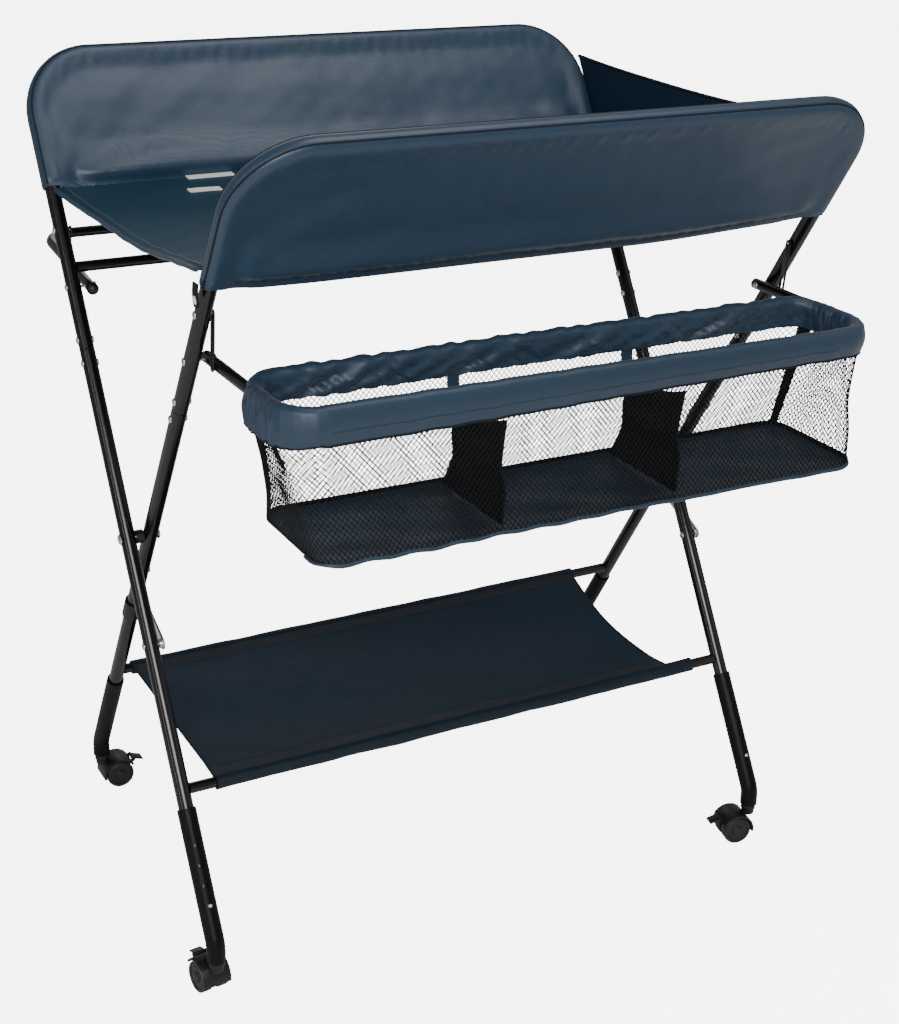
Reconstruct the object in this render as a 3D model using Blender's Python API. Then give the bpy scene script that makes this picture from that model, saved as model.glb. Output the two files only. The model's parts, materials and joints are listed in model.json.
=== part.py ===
"""Folding changing table: two crossed tube frames hold a fabric top between padded hoops.

Frame A runs from the front feet to the rear hoop, frame B from the rear feet to the front hoop.
They turn on one pivot line along X. A storage basket hangs on frame B, a towel rail on frame A,
a fabric shelf spans the lower bars, and every foot telescopes and stands on a braked caster.
Metres, +X along the table, -Y towards its front, +Z up, origin under the middle of its box.
"""

import math

import bmesh
import bpy
from mathutils import Matrix, Vector

# Frames
LEG_ANGLE = math.radians(31.4)
PIVOT_HEIGHT = 0.442
FRAME_SPAN = 0.700
LEG_PITCH = 0.025
TUBE_RADIUS = 0.00825
TUBE_WALL = 0.0012
HOOP_REACH = 0.547
HOOP_CORNER = 0.072
HOOP_JOINT = 0.210
SPIGOT_LENGTH = 0.030
CROSSBAR_REACH = 0.304
BAR_RADIUS = 0.006
BAR_WALL = 0.001

# Pivot, its spacer and the stay links
BOLT_RADIUS = 0.003
BOLT_HEAD_RADIUS = 0.006
BOLT_HEAD_HEIGHT = 0.0025
BOLT_RIM_SHARE = 0.4
BOLT_CROWN_SHARE = 0.6
SPACER_RADIUS = 0.0075
LINK_PIN_REACH = 0.118
LINK_STUD_REACH = 0.0665
LINK_WIDTH = 0.014
LINK_THICKNESS = 0.0024
LINK_SLOT_TRAVEL = 0.048
LINK_SLOT_WIDTH = 0.005
LINK_BOSS_RADIUS = 0.005
COLLAR_REACH = 0.140
COLLAR_LENGTH = 0.027
COLLAR_WALL = 0.002

# Telescoping feet
FOOT_BEND_ABOVE_STUB = 0.019
FOOT_BEND_RADIUS = 0.030
SLEEVE_LENGTH = 0.1466
SLEEVE_WALL = 0.0016
SLEEVE_PLAY = 0.0004
LEG_END_ABOVE_BEND = 0.027
HOLE_COUNT = 4
HOLE_PITCH = 0.0215
LOWEST_HOLE_ABOVE_BEND = 0.0425
HOLE_RADIUS = 0.0028
BUTTON_RADIUS = 0.0023
BUTTON_PROUD = 0.0022
BUTTON_EDGE_SHARE = 0.45
BUTTON_DOME_SHARE = 0.62

# Casters
WHEEL_RADIUS = 0.0175
WHEEL_WIDTH = 0.0130
WHEEL_BEVEL = 0.0022
WEB_THICKNESS = 0.005
WHEEL_PLAY = 0.0008
CASTER_TRAIL = 0.019
AXLE_RADIUS = 0.0025
HUB_RADIUS = 0.006
FENDER_GAP = 0.0015
FENDER_THICKNESS = 0.0025
FENDER_START = math.radians(-8)
FENDER_END = math.radians(148)
WEB_INSET = math.radians(5)
LEVER_INSET = math.radians(3)
BOSS_RADIUS = 0.0078
BOSS_ABOVE_WHEEL = 0.0035
STUB_ABOVE_BOSS = 0.0075
STEM_RADIUS = 0.0045
STEM_LENGTH = 0.018
STEM_COLLAR_RADIUS = 0.0088
STEM_COLLAR_FOOT = 0.00704
LEVER_WIDTH = 0.013
LEVER_LENGTH = 0.013
LEVER_THICKNESS = 0.0022
LEVER_BARREL = 0.0022
LEVER_PIN = 0.0010
LEVER_SLOPE = 0.35
EAR_THICKNESS = 0.002
EAR_LENGTH = 0.00264
CASTER_HEADINGS = {
    "front_left": math.radians(6),
    "front_right": math.radians(78.7),
    "rear_left": math.radians(-90),
    "rear_right": math.radians(-17.5),
}

# Basket and towel rail
ARM_REACH = 0.282
ARM_RADIUS = 0.006
ARM_WALL = 0.001
ARM_SIDE_GAP = 0.00375
ARM_TAIL = 0.008
STRUT_REACH = 0.347
STRUT_WIDTH = 0.008
STRUT_THICKNESS = 0.002
STRUT_SLOT_WIDTH = 0.0034
BASKET_LENGTH = 0.190
BASKET_CORNER = 0.035
BASKET_STRUT_HOLD = 0.029
BASKET_STRUT_SLOT = 0.0185
ROD_OFFSET = 0.087
ROD_RADIUS = 0.002
BAG_DEPTH = 0.148
BAG_WALL = 0.0025
BAG_CORNER = 0.022
BAG_LEFT_INSET = 0.040
BAG_RIGHT_INSET = 0.012
BAG_FRONT_INSET = 0.003
BAG_BACK_FLARE = 0.022
DIVIDER_PLACES = (-0.1325, 0.0725)
DIVIDER_THICKNESS = 0.002
DIVIDER_HEIGHT = 0.105
DIVIDER_PLAY = 0.0018
RAIL_LENGTH = 0.165
RAIL_CORNER = 0.030
RAIL_RISE = math.radians(6.3)
RAIL_STRUT_HOLD = 0.0534
RAIL_STRUT_SLOT = 0.014
CAP_RADIUS = 0.00675
CAP_SHOULDER_SHARE = 0.3
CAP_TAPER_SHARE = 0.9

# Fabric
SHELF_BAR_ABOVE_SLEEVE = 0.0203
SHELF_LEFT = 0.030
SHELF_RIGHT = 0.054
SHELF_SAG = 0.006
SHELF_THICKNESS = 0.003
GUARD_BOTTOM = 0.380
GUARD_THICKNESS = 0.008
GUARD_GAP = 0.0015
SLING_ABOVE_PIVOT = 0.334
SLING_SAG = 0.006
SLING_THICKNESS = 0.004
SLING_END_GAP = 0.010
LEG_PLAY = 0.0024
PANEL_TOP_ABOVE_PIVOT = 0.435
PANEL_THICKNESS = 0.003
TAB_WIDTH = 0.012
TAB_LENGTH = 0.024
TAB_THICKNESS = 0.002

# Fits
GAP = 0.0003
SIDES = 12
WHEEL_SIDES = 16

FRONT = -1
REAR = 1
X_AXIS = Vector((1, 0, 0))

materials = {}


def material(name, colour, roughness, metallic=0.0):
    """One Principled material for each finish, made the first time it is asked for."""
    if name not in materials:
        made = bpy.data.materials.new(name)
        made.use_nodes = True
        shader = made.node_tree.nodes["Principled BSDF"]
        shader.inputs["Base Color"].default_value = (*colour, 1)
        shader.inputs["Roughness"].default_value = roughness
        shader.inputs["Metallic"].default_value = metallic
        materials[name] = made
    return materials[name]


def frame_paint():
    return material("black gloss paint", (0.012, 0.012, 0.014), 0.25)


def steel():
    return material("zinc plated steel", (0.62, 0.62, 0.64), 0.3, 1.0)


def black_plastic():
    return material("black plastic", (0.02, 0.02, 0.022), 0.45)


def tyre_rubber():
    return material("dark tyre", (0.03, 0.03, 0.032), 0.6)


def navy_fabric():
    return material("navy fabric", (0.02, 0.03, 0.09), 0.75)


def net_fabric():
    return material("dark net", (0.015, 0.015, 0.02), 0.8)


def empty(name, parent, location=(0, 0, 0), rotation=(0, 0, 0)):
    """A helper that carries the pieces of one frame, arm or foot on its joint axis."""
    made = bpy.data.objects.new(name, None)
    bpy.context.scene.collection.objects.link(made)
    made.parent = parent
    made.location = location
    made.rotation_euler = rotation
    return made


def node(name, mesh, finish, parent, location=(0, 0, 0), rotation=(0, 0, 0), smooth=True):
    """One piece of the table as its own object."""
    made = bpy.data.objects.new(name, mesh)
    bpy.context.scene.collection.objects.link(made)
    made.parent = parent
    made.location = location
    made.rotation_euler = rotation
    if not mesh.materials:
        mesh.materials.append(finish)
    if smooth:
        mesh.shade_smooth()
        mesh.set_sharp_from_angle(angle=math.radians(40))
    return made


def mesh_of(vertices, faces):
    """A closed mesh with its faces turned outwards."""
    made = bpy.data.meshes.new("shape")
    made.from_pydata([tuple(v) for v in vertices], [], faces)
    work = bmesh.new()
    work.from_mesh(made)
    bmesh.ops.recalc_face_normals(work, faces=work.faces)
    work.to_mesh(made)
    work.free()
    return made


def rounded_path(corners, radius, steps=4):
    """The points of a path whose inner corners are arcs of this radius."""
    points = [Vector(corners[0])]
    for before, corner, after in zip(corners, corners[1:], corners[2:]):
        corner = Vector(corner)
        back = (Vector(before) - corner).normalized()
        ahead = (Vector(after) - corner).normalized()
        half = back.angle(ahead) / 2
        centre = corner + (back + ahead).normalized() * radius / math.sin(half)
        start = corner + back * radius / math.tan(half) - centre
        end = corner + ahead * radius / math.tan(half) - centre
        turn = math.pi - 2 * half
        spin = start.cross(end).normalized()
        for step in range(steps + 1):
            points.append(centre + Matrix.Rotation(turn * step / steps, 3, spin) @ start)
    points.append(Vector(corners[-1]))
    return points


def swept_tube(path, normal, outer, bore, sides=SIDES):
    """A hollow round tube along a path that lies in the plane of this normal.

    outer and bore are radii, one for the whole path or one for each point."""
    outers = outer if isinstance(outer, list) else [outer] * len(path)
    bores = bore if isinstance(bore, list) else [bore] * len(path)
    vertices = []
    for i, point in enumerate(path):
        back = (point - path[i - 1]).normalized() if i else None
        ahead = (path[i + 1] - point).normalized() if i + 1 < len(path) else None
        tangent = ((back or ahead) + (ahead or back)).normalized()
        mitre = 1 / max(0.5, tangent.dot(ahead or back))
        across = tangent.cross(normal)
        for radius in (outers[i], bores[i]):
            for k in range(sides):
                turn = math.tau * k / sides
                offset = normal * math.cos(turn) + across * math.sin(turn) * mitre
                vertices.append(point + offset * radius)
    ring = 2 * sides
    last = ring * (len(path) - 1)
    faces = []
    for k in range(sides):
        n = (k + 1) % sides
        for i in range(len(path) - 1):
            at = ring * i
            faces.append((at + k, at + n, at + ring + n, at + ring + k))
            faces.append((at + sides + k, at + ring + sides + k, at + ring + sides + n, at + sides + n))
        faces.append((k, sides + k, sides + n, n))
        faces.append((last + k, last + n, last + sides + n, last + sides + k))
    return mesh_of(vertices, faces)


def turned(profile, axis="Z", sides=SIDES):
    """A round solid from (radius, height) points that start and end on its axis."""
    vertices = []
    rings = []
    for radius, height in profile:
        start = len(vertices)
        if radius == 0:
            vertices.append(Vector((0, 0, height)))
            rings.append([start] * sides)
            continue
        for k in range(sides):
            turn = math.tau * k / sides
            vertices.append(Vector((radius * math.cos(turn), radius * math.sin(turn), height)))
        rings.append([start + k for k in range(sides)])
    faces = []
    for low, high in zip(rings, rings[1:]):
        for k in range(sides):
            n = (k + 1) % sides
            corners = [low[k], low[n], high[n], high[k]]
            faces.append(tuple(dict.fromkeys(corners)))
    made = mesh_of(vertices, faces)
    if axis == "X":
        made.transform(Matrix.Rotation(math.pi / 2, 4, "Y"))
    return made


def cylinder(radius, low, high, axis="Z", sides=SIDES):
    return turned([(0, low), (radius, low), (radius, high), (0, high)], axis, sides)


def ring(outer, bore, length, axis="X", sides=SIDES):
    """A short hollow cylinder centred on the origin."""
    half = length / 2
    path = [Vector((0, 0, -half)), Vector((0, 0, half))]
    made = swept_tube(path, X_AXIS, outer, bore, sides)
    if axis == "X":
        made.transform(Matrix.Rotation(math.pi / 2, 4, "Y"))
    return made


def prism(outline, thickness):
    """A flat plate in the YZ plane, centred on x = 0, from its (y, z) outline."""
    half = thickness / 2
    count = len(outline)
    vertices = [Vector((side * half, y, z)) for side in (-1, 1) for y, z in outline]
    faces = [tuple(range(count)), tuple(range(count, 2 * count))]
    for k in range(count):
        n = (k + 1) % count
        faces.append((k, n, count + n, count + k))
    return mesh_of(vertices, faces)


def stadium(length, width, steps=6):
    """The (y, z) outline of a round-ended bar from the origin along -Z."""
    half = width / 2
    points = []
    for centre, start in ((0, 0), (-length, math.pi)):
        for k in range(steps + 1):
            turn = start + math.pi * k / steps
            points.append((half * math.cos(turn), centre + half * math.sin(turn)))
    return points


def rounded_rectangle(low, high, radius, steps=4):
    """Points round a rectangle from its low to its high corner, four arcs in turn."""
    points = []
    places = ((high[0], high[1], 0), (low[0], high[1], 1), (low[0], low[1], 2), (high[0], low[1], 3))
    for x, y, quarter in places:
        centre_x = x - radius if quarter in (0, 3) else x + radius
        centre_y = y - radius if quarter in (0, 1) else y + radius
        for k in range(steps + 1):
            turn = math.pi / 2 * (quarter + k / steps)
            points.append((centre_x + radius * math.cos(turn), centre_y + radius * math.sin(turn)))
    return points


def combined(base, add=(), cut=()):
    """The mesh of base with some solids joined to it and others cut from it."""
    made = bpy.data.objects.new("work", base)
    bpy.context.scene.collection.objects.link(made)
    helpers = []
    for operation, shapes in (("UNION", add), ("DIFFERENCE", cut)):
        for shape in shapes:
            helper = bpy.data.objects.new("tool", shape)
            bpy.context.scene.collection.objects.link(helper)
            helper.hide_render = True
            helper.display_type = "WIRE"
            boolean = made.modifiers.new(operation.lower(), "BOOLEAN")
            boolean.operation = operation
            boolean.object = helper
            helpers.append(helper)
    bpy.context.view_layer.update()
    graph = bpy.context.evaluated_depsgraph_get()
    result = bpy.data.meshes.new_from_object(made.evaluated_get(graph))
    for helper in (*helpers, made):
        bpy.data.objects.remove(helper, do_unlink=True)
    return result


def moved(mesh, x=0.0, y=0.0, z=0.0):
    mesh.transform(Matrix.Translation((x, y, z)))
    return mesh


def turned_to_y(mesh):
    """The same mesh with its +Z axis laid along +Y."""
    mesh.transform(Matrix.Rotation(-math.pi / 2, 4, "X"))
    return mesh


# Heights that follow from the sizes above
BOSS_TOP = 2 * WHEEL_RADIUS + BOSS_ABOVE_WHEEL
STUB_BOTTOM = BOSS_TOP + STUB_ABOVE_BOSS
FOOT_BEND_HEIGHT = STUB_BOTTOM + FOOT_BEND_ABOVE_STUB
SLING_TOP = PIVOT_HEIGHT + SLING_ABOVE_PIVOT
PANEL_TOP = PIVOT_HEIGHT + PANEL_TOP_ABOVE_PIVOT

# Places along a leg, measured down from the pivot
FOOT_BEND = (PIVOT_HEIGHT - FOOT_BEND_HEIGHT) / math.cos(LEG_ANGLE)
SLEEVE_TOP = FOOT_BEND - SLEEVE_LENGTH
LOWEST_HOLE = FOOT_BEND - LOWEST_HOLE_ABOVE_BEND
LEG_END = FOOT_BEND - LEG_END_ABOVE_BEND
SHELF_BAR = SLEEVE_TOP - SHELF_BAR_ABOVE_SLEEVE
SLEEVE_BORE = TUBE_RADIUS + SLEEVE_PLAY
SLEEVE_RADIUS = SLEEVE_BORE + SLEEVE_WALL
LEG_X = FRAME_SPAN / 2
ARM_X = LEG_X - TUBE_RADIUS - ARM_SIDE_GAP - ARM_RADIUS
STRUT_X = LEG_X - TUBE_RADIUS - ARM_SIDE_GAP / 2
PIVOT_GAP = LEG_PITCH - 2 * TUBE_RADIUS


def frame_x(foot):
    """The middle of a frame along X: frame A stands half a pitch to the left, frame B to the right."""
    return foot * LEG_PITCH / 2


def leg_place(foot, reach):
    """World y and z of the point on a leg's axis this far up from the pivot."""
    return -foot * reach * math.sin(LEG_ANGLE), PIVOT_HEIGHT + reach * math.cos(LEG_ANGLE)


def gap_x(side):
    """The plane midway between the neighbouring legs at one end of the table."""
    return side * LEG_X


def leg_mesh(inner):
    """A leg tube, drilled for the pivot bolt and for its foot button on the inner face."""
    path = [Vector((0, 0, HOOP_JOINT - GAP)), Vector((0, 0, -LEG_END))]
    tube = swept_tube(path, X_AXIS, TUBE_RADIUS, TUBE_RADIUS - TUBE_WALL)
    bolt_hole = cylinder(BOLT_RADIUS + GAP, -2 * TUBE_RADIUS, 2 * TUBE_RADIUS, "X")
    button_hole = turned_to_y(cylinder(HOLE_RADIUS, 0, 2 * TUBE_RADIUS * inner))
    return combined(tube, cut=(bolt_hole, moved(button_hole, z=-LOWEST_HOLE)))


def hoop_mesh():
    """An inverted U of tube whose ends step down to spigots that enter the legs."""
    spigot = (TUBE_RADIUS - TUBE_WALL) * math.cos(math.pi / SIDES) - GAP
    low = HOOP_JOINT - SPIGOT_LENGTH
    neck = HOOP_JOINT + 2 * GAP
    left, right = -LEG_X, LEG_X
    bend = rounded_path(
        [(left, 0, neck), (left, 0, HOOP_REACH), (right, 0, HOOP_REACH), (right, 0, neck)],
        HOOP_CORNER,
    )
    path = [Vector((left, 0, low)), Vector((left, 0, HOOP_JOINT)), *bend]
    path += [Vector((right, 0, HOOP_JOINT)), Vector((right, 0, low))]
    outers = [spigot, spigot] + [TUBE_RADIUS] * len(bend) + [spigot, spigot]
    return swept_tube(path, Vector((0, 1, 0)), outers, spigot - TUBE_WALL)


def cross_tube(radius, wall, length):
    half = length / 2
    return swept_tube([Vector((-half, 0, 0)), Vector((half, 0, 0))], Vector((0, 0, 1)), radius, radius - wall)


def bar_between_legs(name, parent, reach):
    """A straight tube from leg to leg of one frame."""
    length = FRAME_SPAN - 2 * (TUBE_RADIUS + GAP)
    node(name, cross_tube(BAR_RADIUS, BAR_WALL, length), frame_paint(), parent, (0, 0, reach))


def make_frame(foot, parent, name, hoop_name):
    """The hoop and two legs of a frame; foot says whether its feet are at the front or the rear."""
    node(hoop_name, hoop_mesh(), frame_paint(), parent)
    for side, end in ((-1, "left"), (1, "right")):
        node(f"{name}_leg_{end}", leg_mesh(-foot), frame_paint(), parent, (side * LEG_X, 0, 0))


def make_pivots(root):
    """Bolts through both legs at each end, with a spacer in the gap."""
    half = LEG_PITCH / 2 + TUBE_RADIUS + GAP
    head = half + BOLT_HEAD_HEIGHT
    rim = half + BOLT_HEAD_HEIGHT * BOLT_RIM_SHARE
    crown = BOLT_HEAD_RADIUS * BOLT_CROWN_SHARE
    profile = [(0, -head), (crown, -head), (BOLT_HEAD_RADIUS, -rim), (BOLT_HEAD_RADIUS, -half)]
    profile += [(BOLT_RADIUS, -half), (BOLT_RADIUS, half)]
    profile += [(BOLT_HEAD_RADIUS, half), (BOLT_HEAD_RADIUS, rim), (crown, head), (0, head)]
    for side, end in ((-1, "left"), (1, "right")):
        place = (gap_x(side), 0, PIVOT_HEIGHT)
        node(f"pivot_bolt_{end}", turned(profile, "X", SIDES), steel(), root, place)
        spacer = ring(SPACER_RADIUS, BOLT_RADIUS + 2 * GAP, PIVOT_GAP - 2 * GAP)
        node(f"pivot_spacer_{end}", spacer, black_plastic(), root, place)


def link_rest():
    """Length between the link's pin and stud, and the link's lean from the leg that it is pinned to."""
    pin = Vector((0, *leg_place(FRONT, -LINK_PIN_REACH)))
    stud = Vector((0, *leg_place(REAR, -LINK_STUD_REACH)))
    reach = stud - pin
    return reach.length, math.atan2(-reach.y, reach.z)


def make_stay_links(root):
    """Slotted bars in the gap between the legs, each pinned on frame A with its stud on frame B."""
    length, lean = link_rest()
    bar = moved(prism(stadium(length, LINK_WIDTH), LINK_THICKNESS), z=length)
    slot = moved(prism(stadium(LINK_SLOT_TRAVEL, LINK_SLOT_WIDTH), 2 * LINK_THICKNESS), z=length)
    boss = cylinder(LINK_BOSS_RADIUS, 2 * GAP - PIVOT_GAP / 2, 0, "X")
    mesh = combined(bar, add=(boss,), cut=(slot,))
    for side, end in ((-1, "left"), (1, "right")):
        place = (gap_x(side), *leg_place(FRONT, -LINK_PIN_REACH))
        node(f"stay_link_{end}", mesh, steel(), root, place, (lean, 0, 0))


def make_collar(frame_b):
    """A plastic collar round the left leg of frame B, under the stay link."""
    collar = ring(TUBE_RADIUS + GAP + COLLAR_WALL, TUBE_RADIUS + GAP, COLLAR_LENGTH, "Z", SIDES)
    node("lock_collar", collar, black_plastic(), frame_b, (-LEG_X, 0, -COLLAR_REACH))


def sleeve_mesh(foot):
    """A foot: a sleeve over the leg that bends to a vertical stub, with its row of holes."""
    down = Matrix.Rotation(-foot * LEG_ANGLE, 3, "X") @ Vector((0, 0, -1))
    bend = Vector((0, 0, -FOOT_BEND))
    end = bend + down * (FOOT_BEND_HEIGHT - STUB_BOTTOM)
    path = rounded_path([(0, 0, -SLEEVE_TOP), bend, end], FOOT_BEND_RADIUS, 3)
    tube = swept_tube(path, X_AXIS, SLEEVE_RADIUS, SLEEVE_BORE)
    holes = []
    for k in range(HOLE_COUNT):
        hole = turned_to_y(cylinder(HOLE_RADIUS, 0, -foot * 2 * SLEEVE_RADIUS))
        holes.append(moved(hole, z=-LOWEST_HOLE + k * HOLE_PITCH))
    return combined(tube, cut=holes)


def button_mesh(foot):
    """A domed spring button that fills one hole of the sleeve and stands proud of it."""
    low = SLEEVE_BORE + GAP
    high = SLEEVE_RADIUS + BUTTON_PROUD
    shoulder = high - BUTTON_RADIUS * BUTTON_EDGE_SHARE
    dome = BUTTON_RADIUS * BUTTON_DOME_SHARE
    profile = [(0, low), (BUTTON_RADIUS, low), (BUTTON_RADIUS, shoulder), (dome, high), (0, high)]
    made = turned_to_y(turned(profile, "Z", SIDES))
    if foot > 0:
        made.transform(Matrix.Rotation(math.pi, 4, "Z"))
    return made


def wheel_mesh():
    """Two wheels on one axle, turned about the X axis."""
    inner = WEB_THICKNESS / 2 + WHEEL_PLAY
    outer = inner + WHEEL_WIDTH
    tread = WHEEL_RADIUS - WHEEL_BEVEL
    half = [(AXLE_RADIUS, inner), (tread, inner), (WHEEL_RADIUS, inner + WHEEL_BEVEL)]
    half += [(WHEEL_RADIUS, outer - WHEEL_BEVEL), (tread, outer), (0, outer)]
    mirrored = [(radius, -x) for radius, x in reversed(half)]
    return turned(mirrored + half, "X", WHEEL_SIDES)


def pie(inner, outer, start, end, steps=8):
    """The (y, z) outline of part of a ring; an inner radius of 0 gives a slice."""
    turns = [start + (end - start) * k / steps for k in range(steps + 1)]
    points = [(outer * math.cos(turn), outer * math.sin(turn)) for turn in turns]
    if inner == 0:
        return points + [(0, 0)]
    return points + [(inner * math.cos(turn), inner * math.sin(turn)) for turn in reversed(turns)]


def lever_place():
    """The brake lever's pin, from the wheel's centre, just outside the end of the fender."""
    radius = WHEEL_RADIUS + FENDER_GAP + FENDER_THICKNESS + LEVER_BARREL + 2 * GAP
    turn = FENDER_END - LEVER_INSET
    return -radius * math.cos(turn), radius * math.sin(turn)


def hood_mesh():
    """The caster's body: a fender over both wheels, a web between them, ears and a boss."""
    inner = WHEEL_RADIUS + FENDER_GAP
    outer = inner + FENDER_THICKNESS
    width = WEB_THICKNESS + 2 * (WHEEL_PLAY + WHEEL_WIDTH)
    middle = (inner + outer) / 2
    fender = prism(pie(inner, outer, FENDER_START, FENDER_END), width)
    web_start, web_end = FENDER_START + WEB_INSET, FENDER_END - WEB_INSET
    web = prism(pie(0, middle, web_start, web_end), WEB_THICKNESS)
    hub_half = WEB_THICKNESS / 2 + GAP
    hub = cylinder(HUB_RADIUS, -hub_half, hub_half, "X")
    bearing = cylinder(AXLE_RADIUS + GAP, -WEB_THICKNESS, WEB_THICKNESS, "X")
    boss = cylinder(BOSS_RADIUS, WHEEL_RADIUS - FENDER_GAP, BOSS_TOP - WHEEL_RADIUS)
    ears = []
    pin_y, pin_z = lever_place()
    for side in (-1, 1):
        ear = prism(stadium(EAR_LENGTH, 2 * LEVER_BARREL), EAR_THICKNESS)
        ear.transform(Matrix.Rotation(math.atan2(pin_y, pin_z), 4, "X"))
        ears.append(moved(ear, side * (LEVER_WIDTH / 2 + GAP + EAR_THICKNESS / 2), -pin_y, pin_z))
    pin_hole = moved(cylinder(LEVER_PIN + GAP, -width, width, "X"), 0, -pin_y, pin_z)
    made = combined(fender, add=(web, hub, moved(boss, 0, CASTER_TRAIL), *ears), cut=(bearing, pin_hole))
    made.transform(Matrix.Rotation(math.pi, 4, "Z"))
    return made


def lever_mesh():
    """A brake lever: a barrel with pin ends and a paddle that slopes back and down."""
    half = LEVER_WIDTH / 2
    tip = half + GAP + EAR_THICKNESS
    profile = [(0, -tip), (LEVER_PIN, -tip), (LEVER_PIN, -half), (LEVER_BARREL, -half)]
    profile += [(radius, -x) for radius, x in reversed(profile)]
    tip_top = LEVER_BARREL - LEVER_SLOPE * LEVER_LENGTH
    outline = [(0, LEVER_BARREL), (LEVER_LENGTH, tip_top)]
    outline += [(LEVER_LENGTH, tip_top - LEVER_THICKNESS), (0, LEVER_BARREL - LEVER_THICKNESS)]
    return combined(turned(profile, "X", SIDES), add=(prism(outline, LEVER_WIDTH),))


def stem_mesh():
    """The swivel stem and its collar, between the hood and the foot's stub."""
    low = BOSS_TOP + GAP
    high = STUB_BOTTOM - GAP
    top = high + STEM_LENGTH
    profile = [(0, low), (STEM_COLLAR_FOOT, low), (STEM_COLLAR_RADIUS, low + 2 * GAP)]
    profile += [(STEM_COLLAR_RADIUS, high), (STEM_RADIUS, high), (STEM_RADIUS, top), (0, top)]
    return turned(profile, "Z", SIDES)


def make_feet(root, frames):
    """Four feet: sleeve, button and caster pieces, each caster turned to its own heading."""
    hood, wheels, lever, stem = hood_mesh(), wheel_mesh(), lever_mesh(), stem_mesh()
    pin_y, pin_z = lever_place()
    for foot, row in ((FRONT, "front"), (REAR, "rear")):
        sleeve, button = sleeve_mesh(foot), button_mesh(foot)
        for side, end in ((-1, "left"), (1, "right")):
            name = f"{row}_{end}"
            x = side * LEG_X
            node(f"foot_sleeve_{name}", sleeve, frame_paint(), frames[foot], (x, 0, 0))
            node(f"height_button_{name}", button, steel(), frames[foot], (x, 0, -LOWEST_HOLE))
            y, _ = leg_place(foot, -FOOT_BEND)
            heading = (0, 0, CASTER_HEADINGS[name])
            caster = empty(f"caster_{name}", root, (frame_x(foot) + x, y, 0), heading)
            node(f"caster_stem_{name}", stem, steel(), caster)
            axle = empty(f"axle_{name}", caster, (0, CASTER_TRAIL, WHEEL_RADIUS))
            node(f"caster_hood_{name}", hood, black_plastic(), axle)
            node(f"caster_wheels_{name}", wheels, tyre_rubber(), axle)
            node(f"brake_lever_{name}", lever, black_plastic(), axle, (0, pin_y, pin_z))


def arm_loop(length, corner):
    """A U of tube: two arms from the hinge line, joined by a bar, reaching along -Y."""
    path = rounded_path(
        [(-ARM_X, ARM_TAIL, 0), (-ARM_X, -length, 0), (ARM_X, -length, 0), (ARM_X, ARM_TAIL, 0)], corner
    )
    return swept_tube(path, Vector((0, 0, 1)), ARM_RADIUS, ARM_RADIUS - ARM_WALL)


def strut_rest(arm_angle, hold):
    """Length of a strut and its lean from the vertical, for an arm that leaves the leg at this angle."""
    rise = STRUT_REACH - ARM_REACH
    along = Vector((0, math.sin(LEG_ANGLE) * rise, math.cos(LEG_ANGLE) * rise))
    held = Vector((0, math.cos(arm_angle) * hold, math.sin(arm_angle) * hold))
    reach = held - along
    return reach.length, math.atan2(reach.y, -reach.z)


def make_struts(root, foot, name, arm_angle, hold, slot_travel):
    """Slotted flat bars between leg and arm, riveted to the leg, that hold the arm from below."""
    length, lean = strut_rest(arm_angle, hold)
    bar = prism(stadium(length, STRUT_WIDTH), STRUT_THICKNESS)
    slot = moved(prism(stadium(slot_travel, STRUT_SLOT_WIDTH), 2 * STRUT_THICKNESS), z=slot_travel - length)
    mesh = combined(bar, cut=(slot,))
    for side, end in ((-1, "left"), (1, "right")):
        place = (frame_x(foot) + side * STRUT_X, *leg_place(foot, STRUT_REACH))
        node(f"{name}_strut_{end}", mesh, steel(), root, place, (-foot * lean, 0, 0))


def bag_mesh():
    """The basket's open bag: walls from a rim under the arms to a smaller floor."""
    top_z = -ARM_RADIUS - GAP
    floor_z = top_z - BAG_DEPTH
    top_low = (-ARM_X - ARM_RADIUS, -BASKET_LENGTH - ARM_RADIUS)
    top_high = (ARM_X + ARM_RADIUS, -ROD_OFFSET - ROD_RADIUS - GAP)
    floor_low = (top_low[0] + BAG_LEFT_INSET, top_low[1] + BAG_FRONT_INSET)
    floor_high = (top_high[0] - BAG_RIGHT_INSET, top_high[1] + BAG_BACK_FLARE)
    rings = []
    for low, high, z, inset in (
        (top_low, top_high, top_z, 0),
        (floor_low, floor_high, floor_z, 0),
        (floor_low, floor_high, floor_z + BAG_WALL, BAG_WALL),
        (top_low, top_high, top_z, BAG_WALL),
    ):
        corner = BAG_CORNER - inset
        outline = rounded_rectangle(
            (low[0] + inset, low[1] + inset), (high[0] - inset, high[1] - inset), corner
        )
        rings.append([Vector((x, y, z)) for x, y in outline])
    count = len(rings[0])
    vertices = [point for outline in rings for point in outline]
    faces = [tuple(range(count, 2 * count)), tuple(range(2 * count, 3 * count))]
    for first, second in ((0, 1), (2, 3), (3, 0)):
        for k in range(count):
            n = (k + 1) % count
            a, b = first * count, second * count
            faces.append((a + k, a + n, b + n, b + k))
    return mesh_of(vertices, faces)


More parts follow.
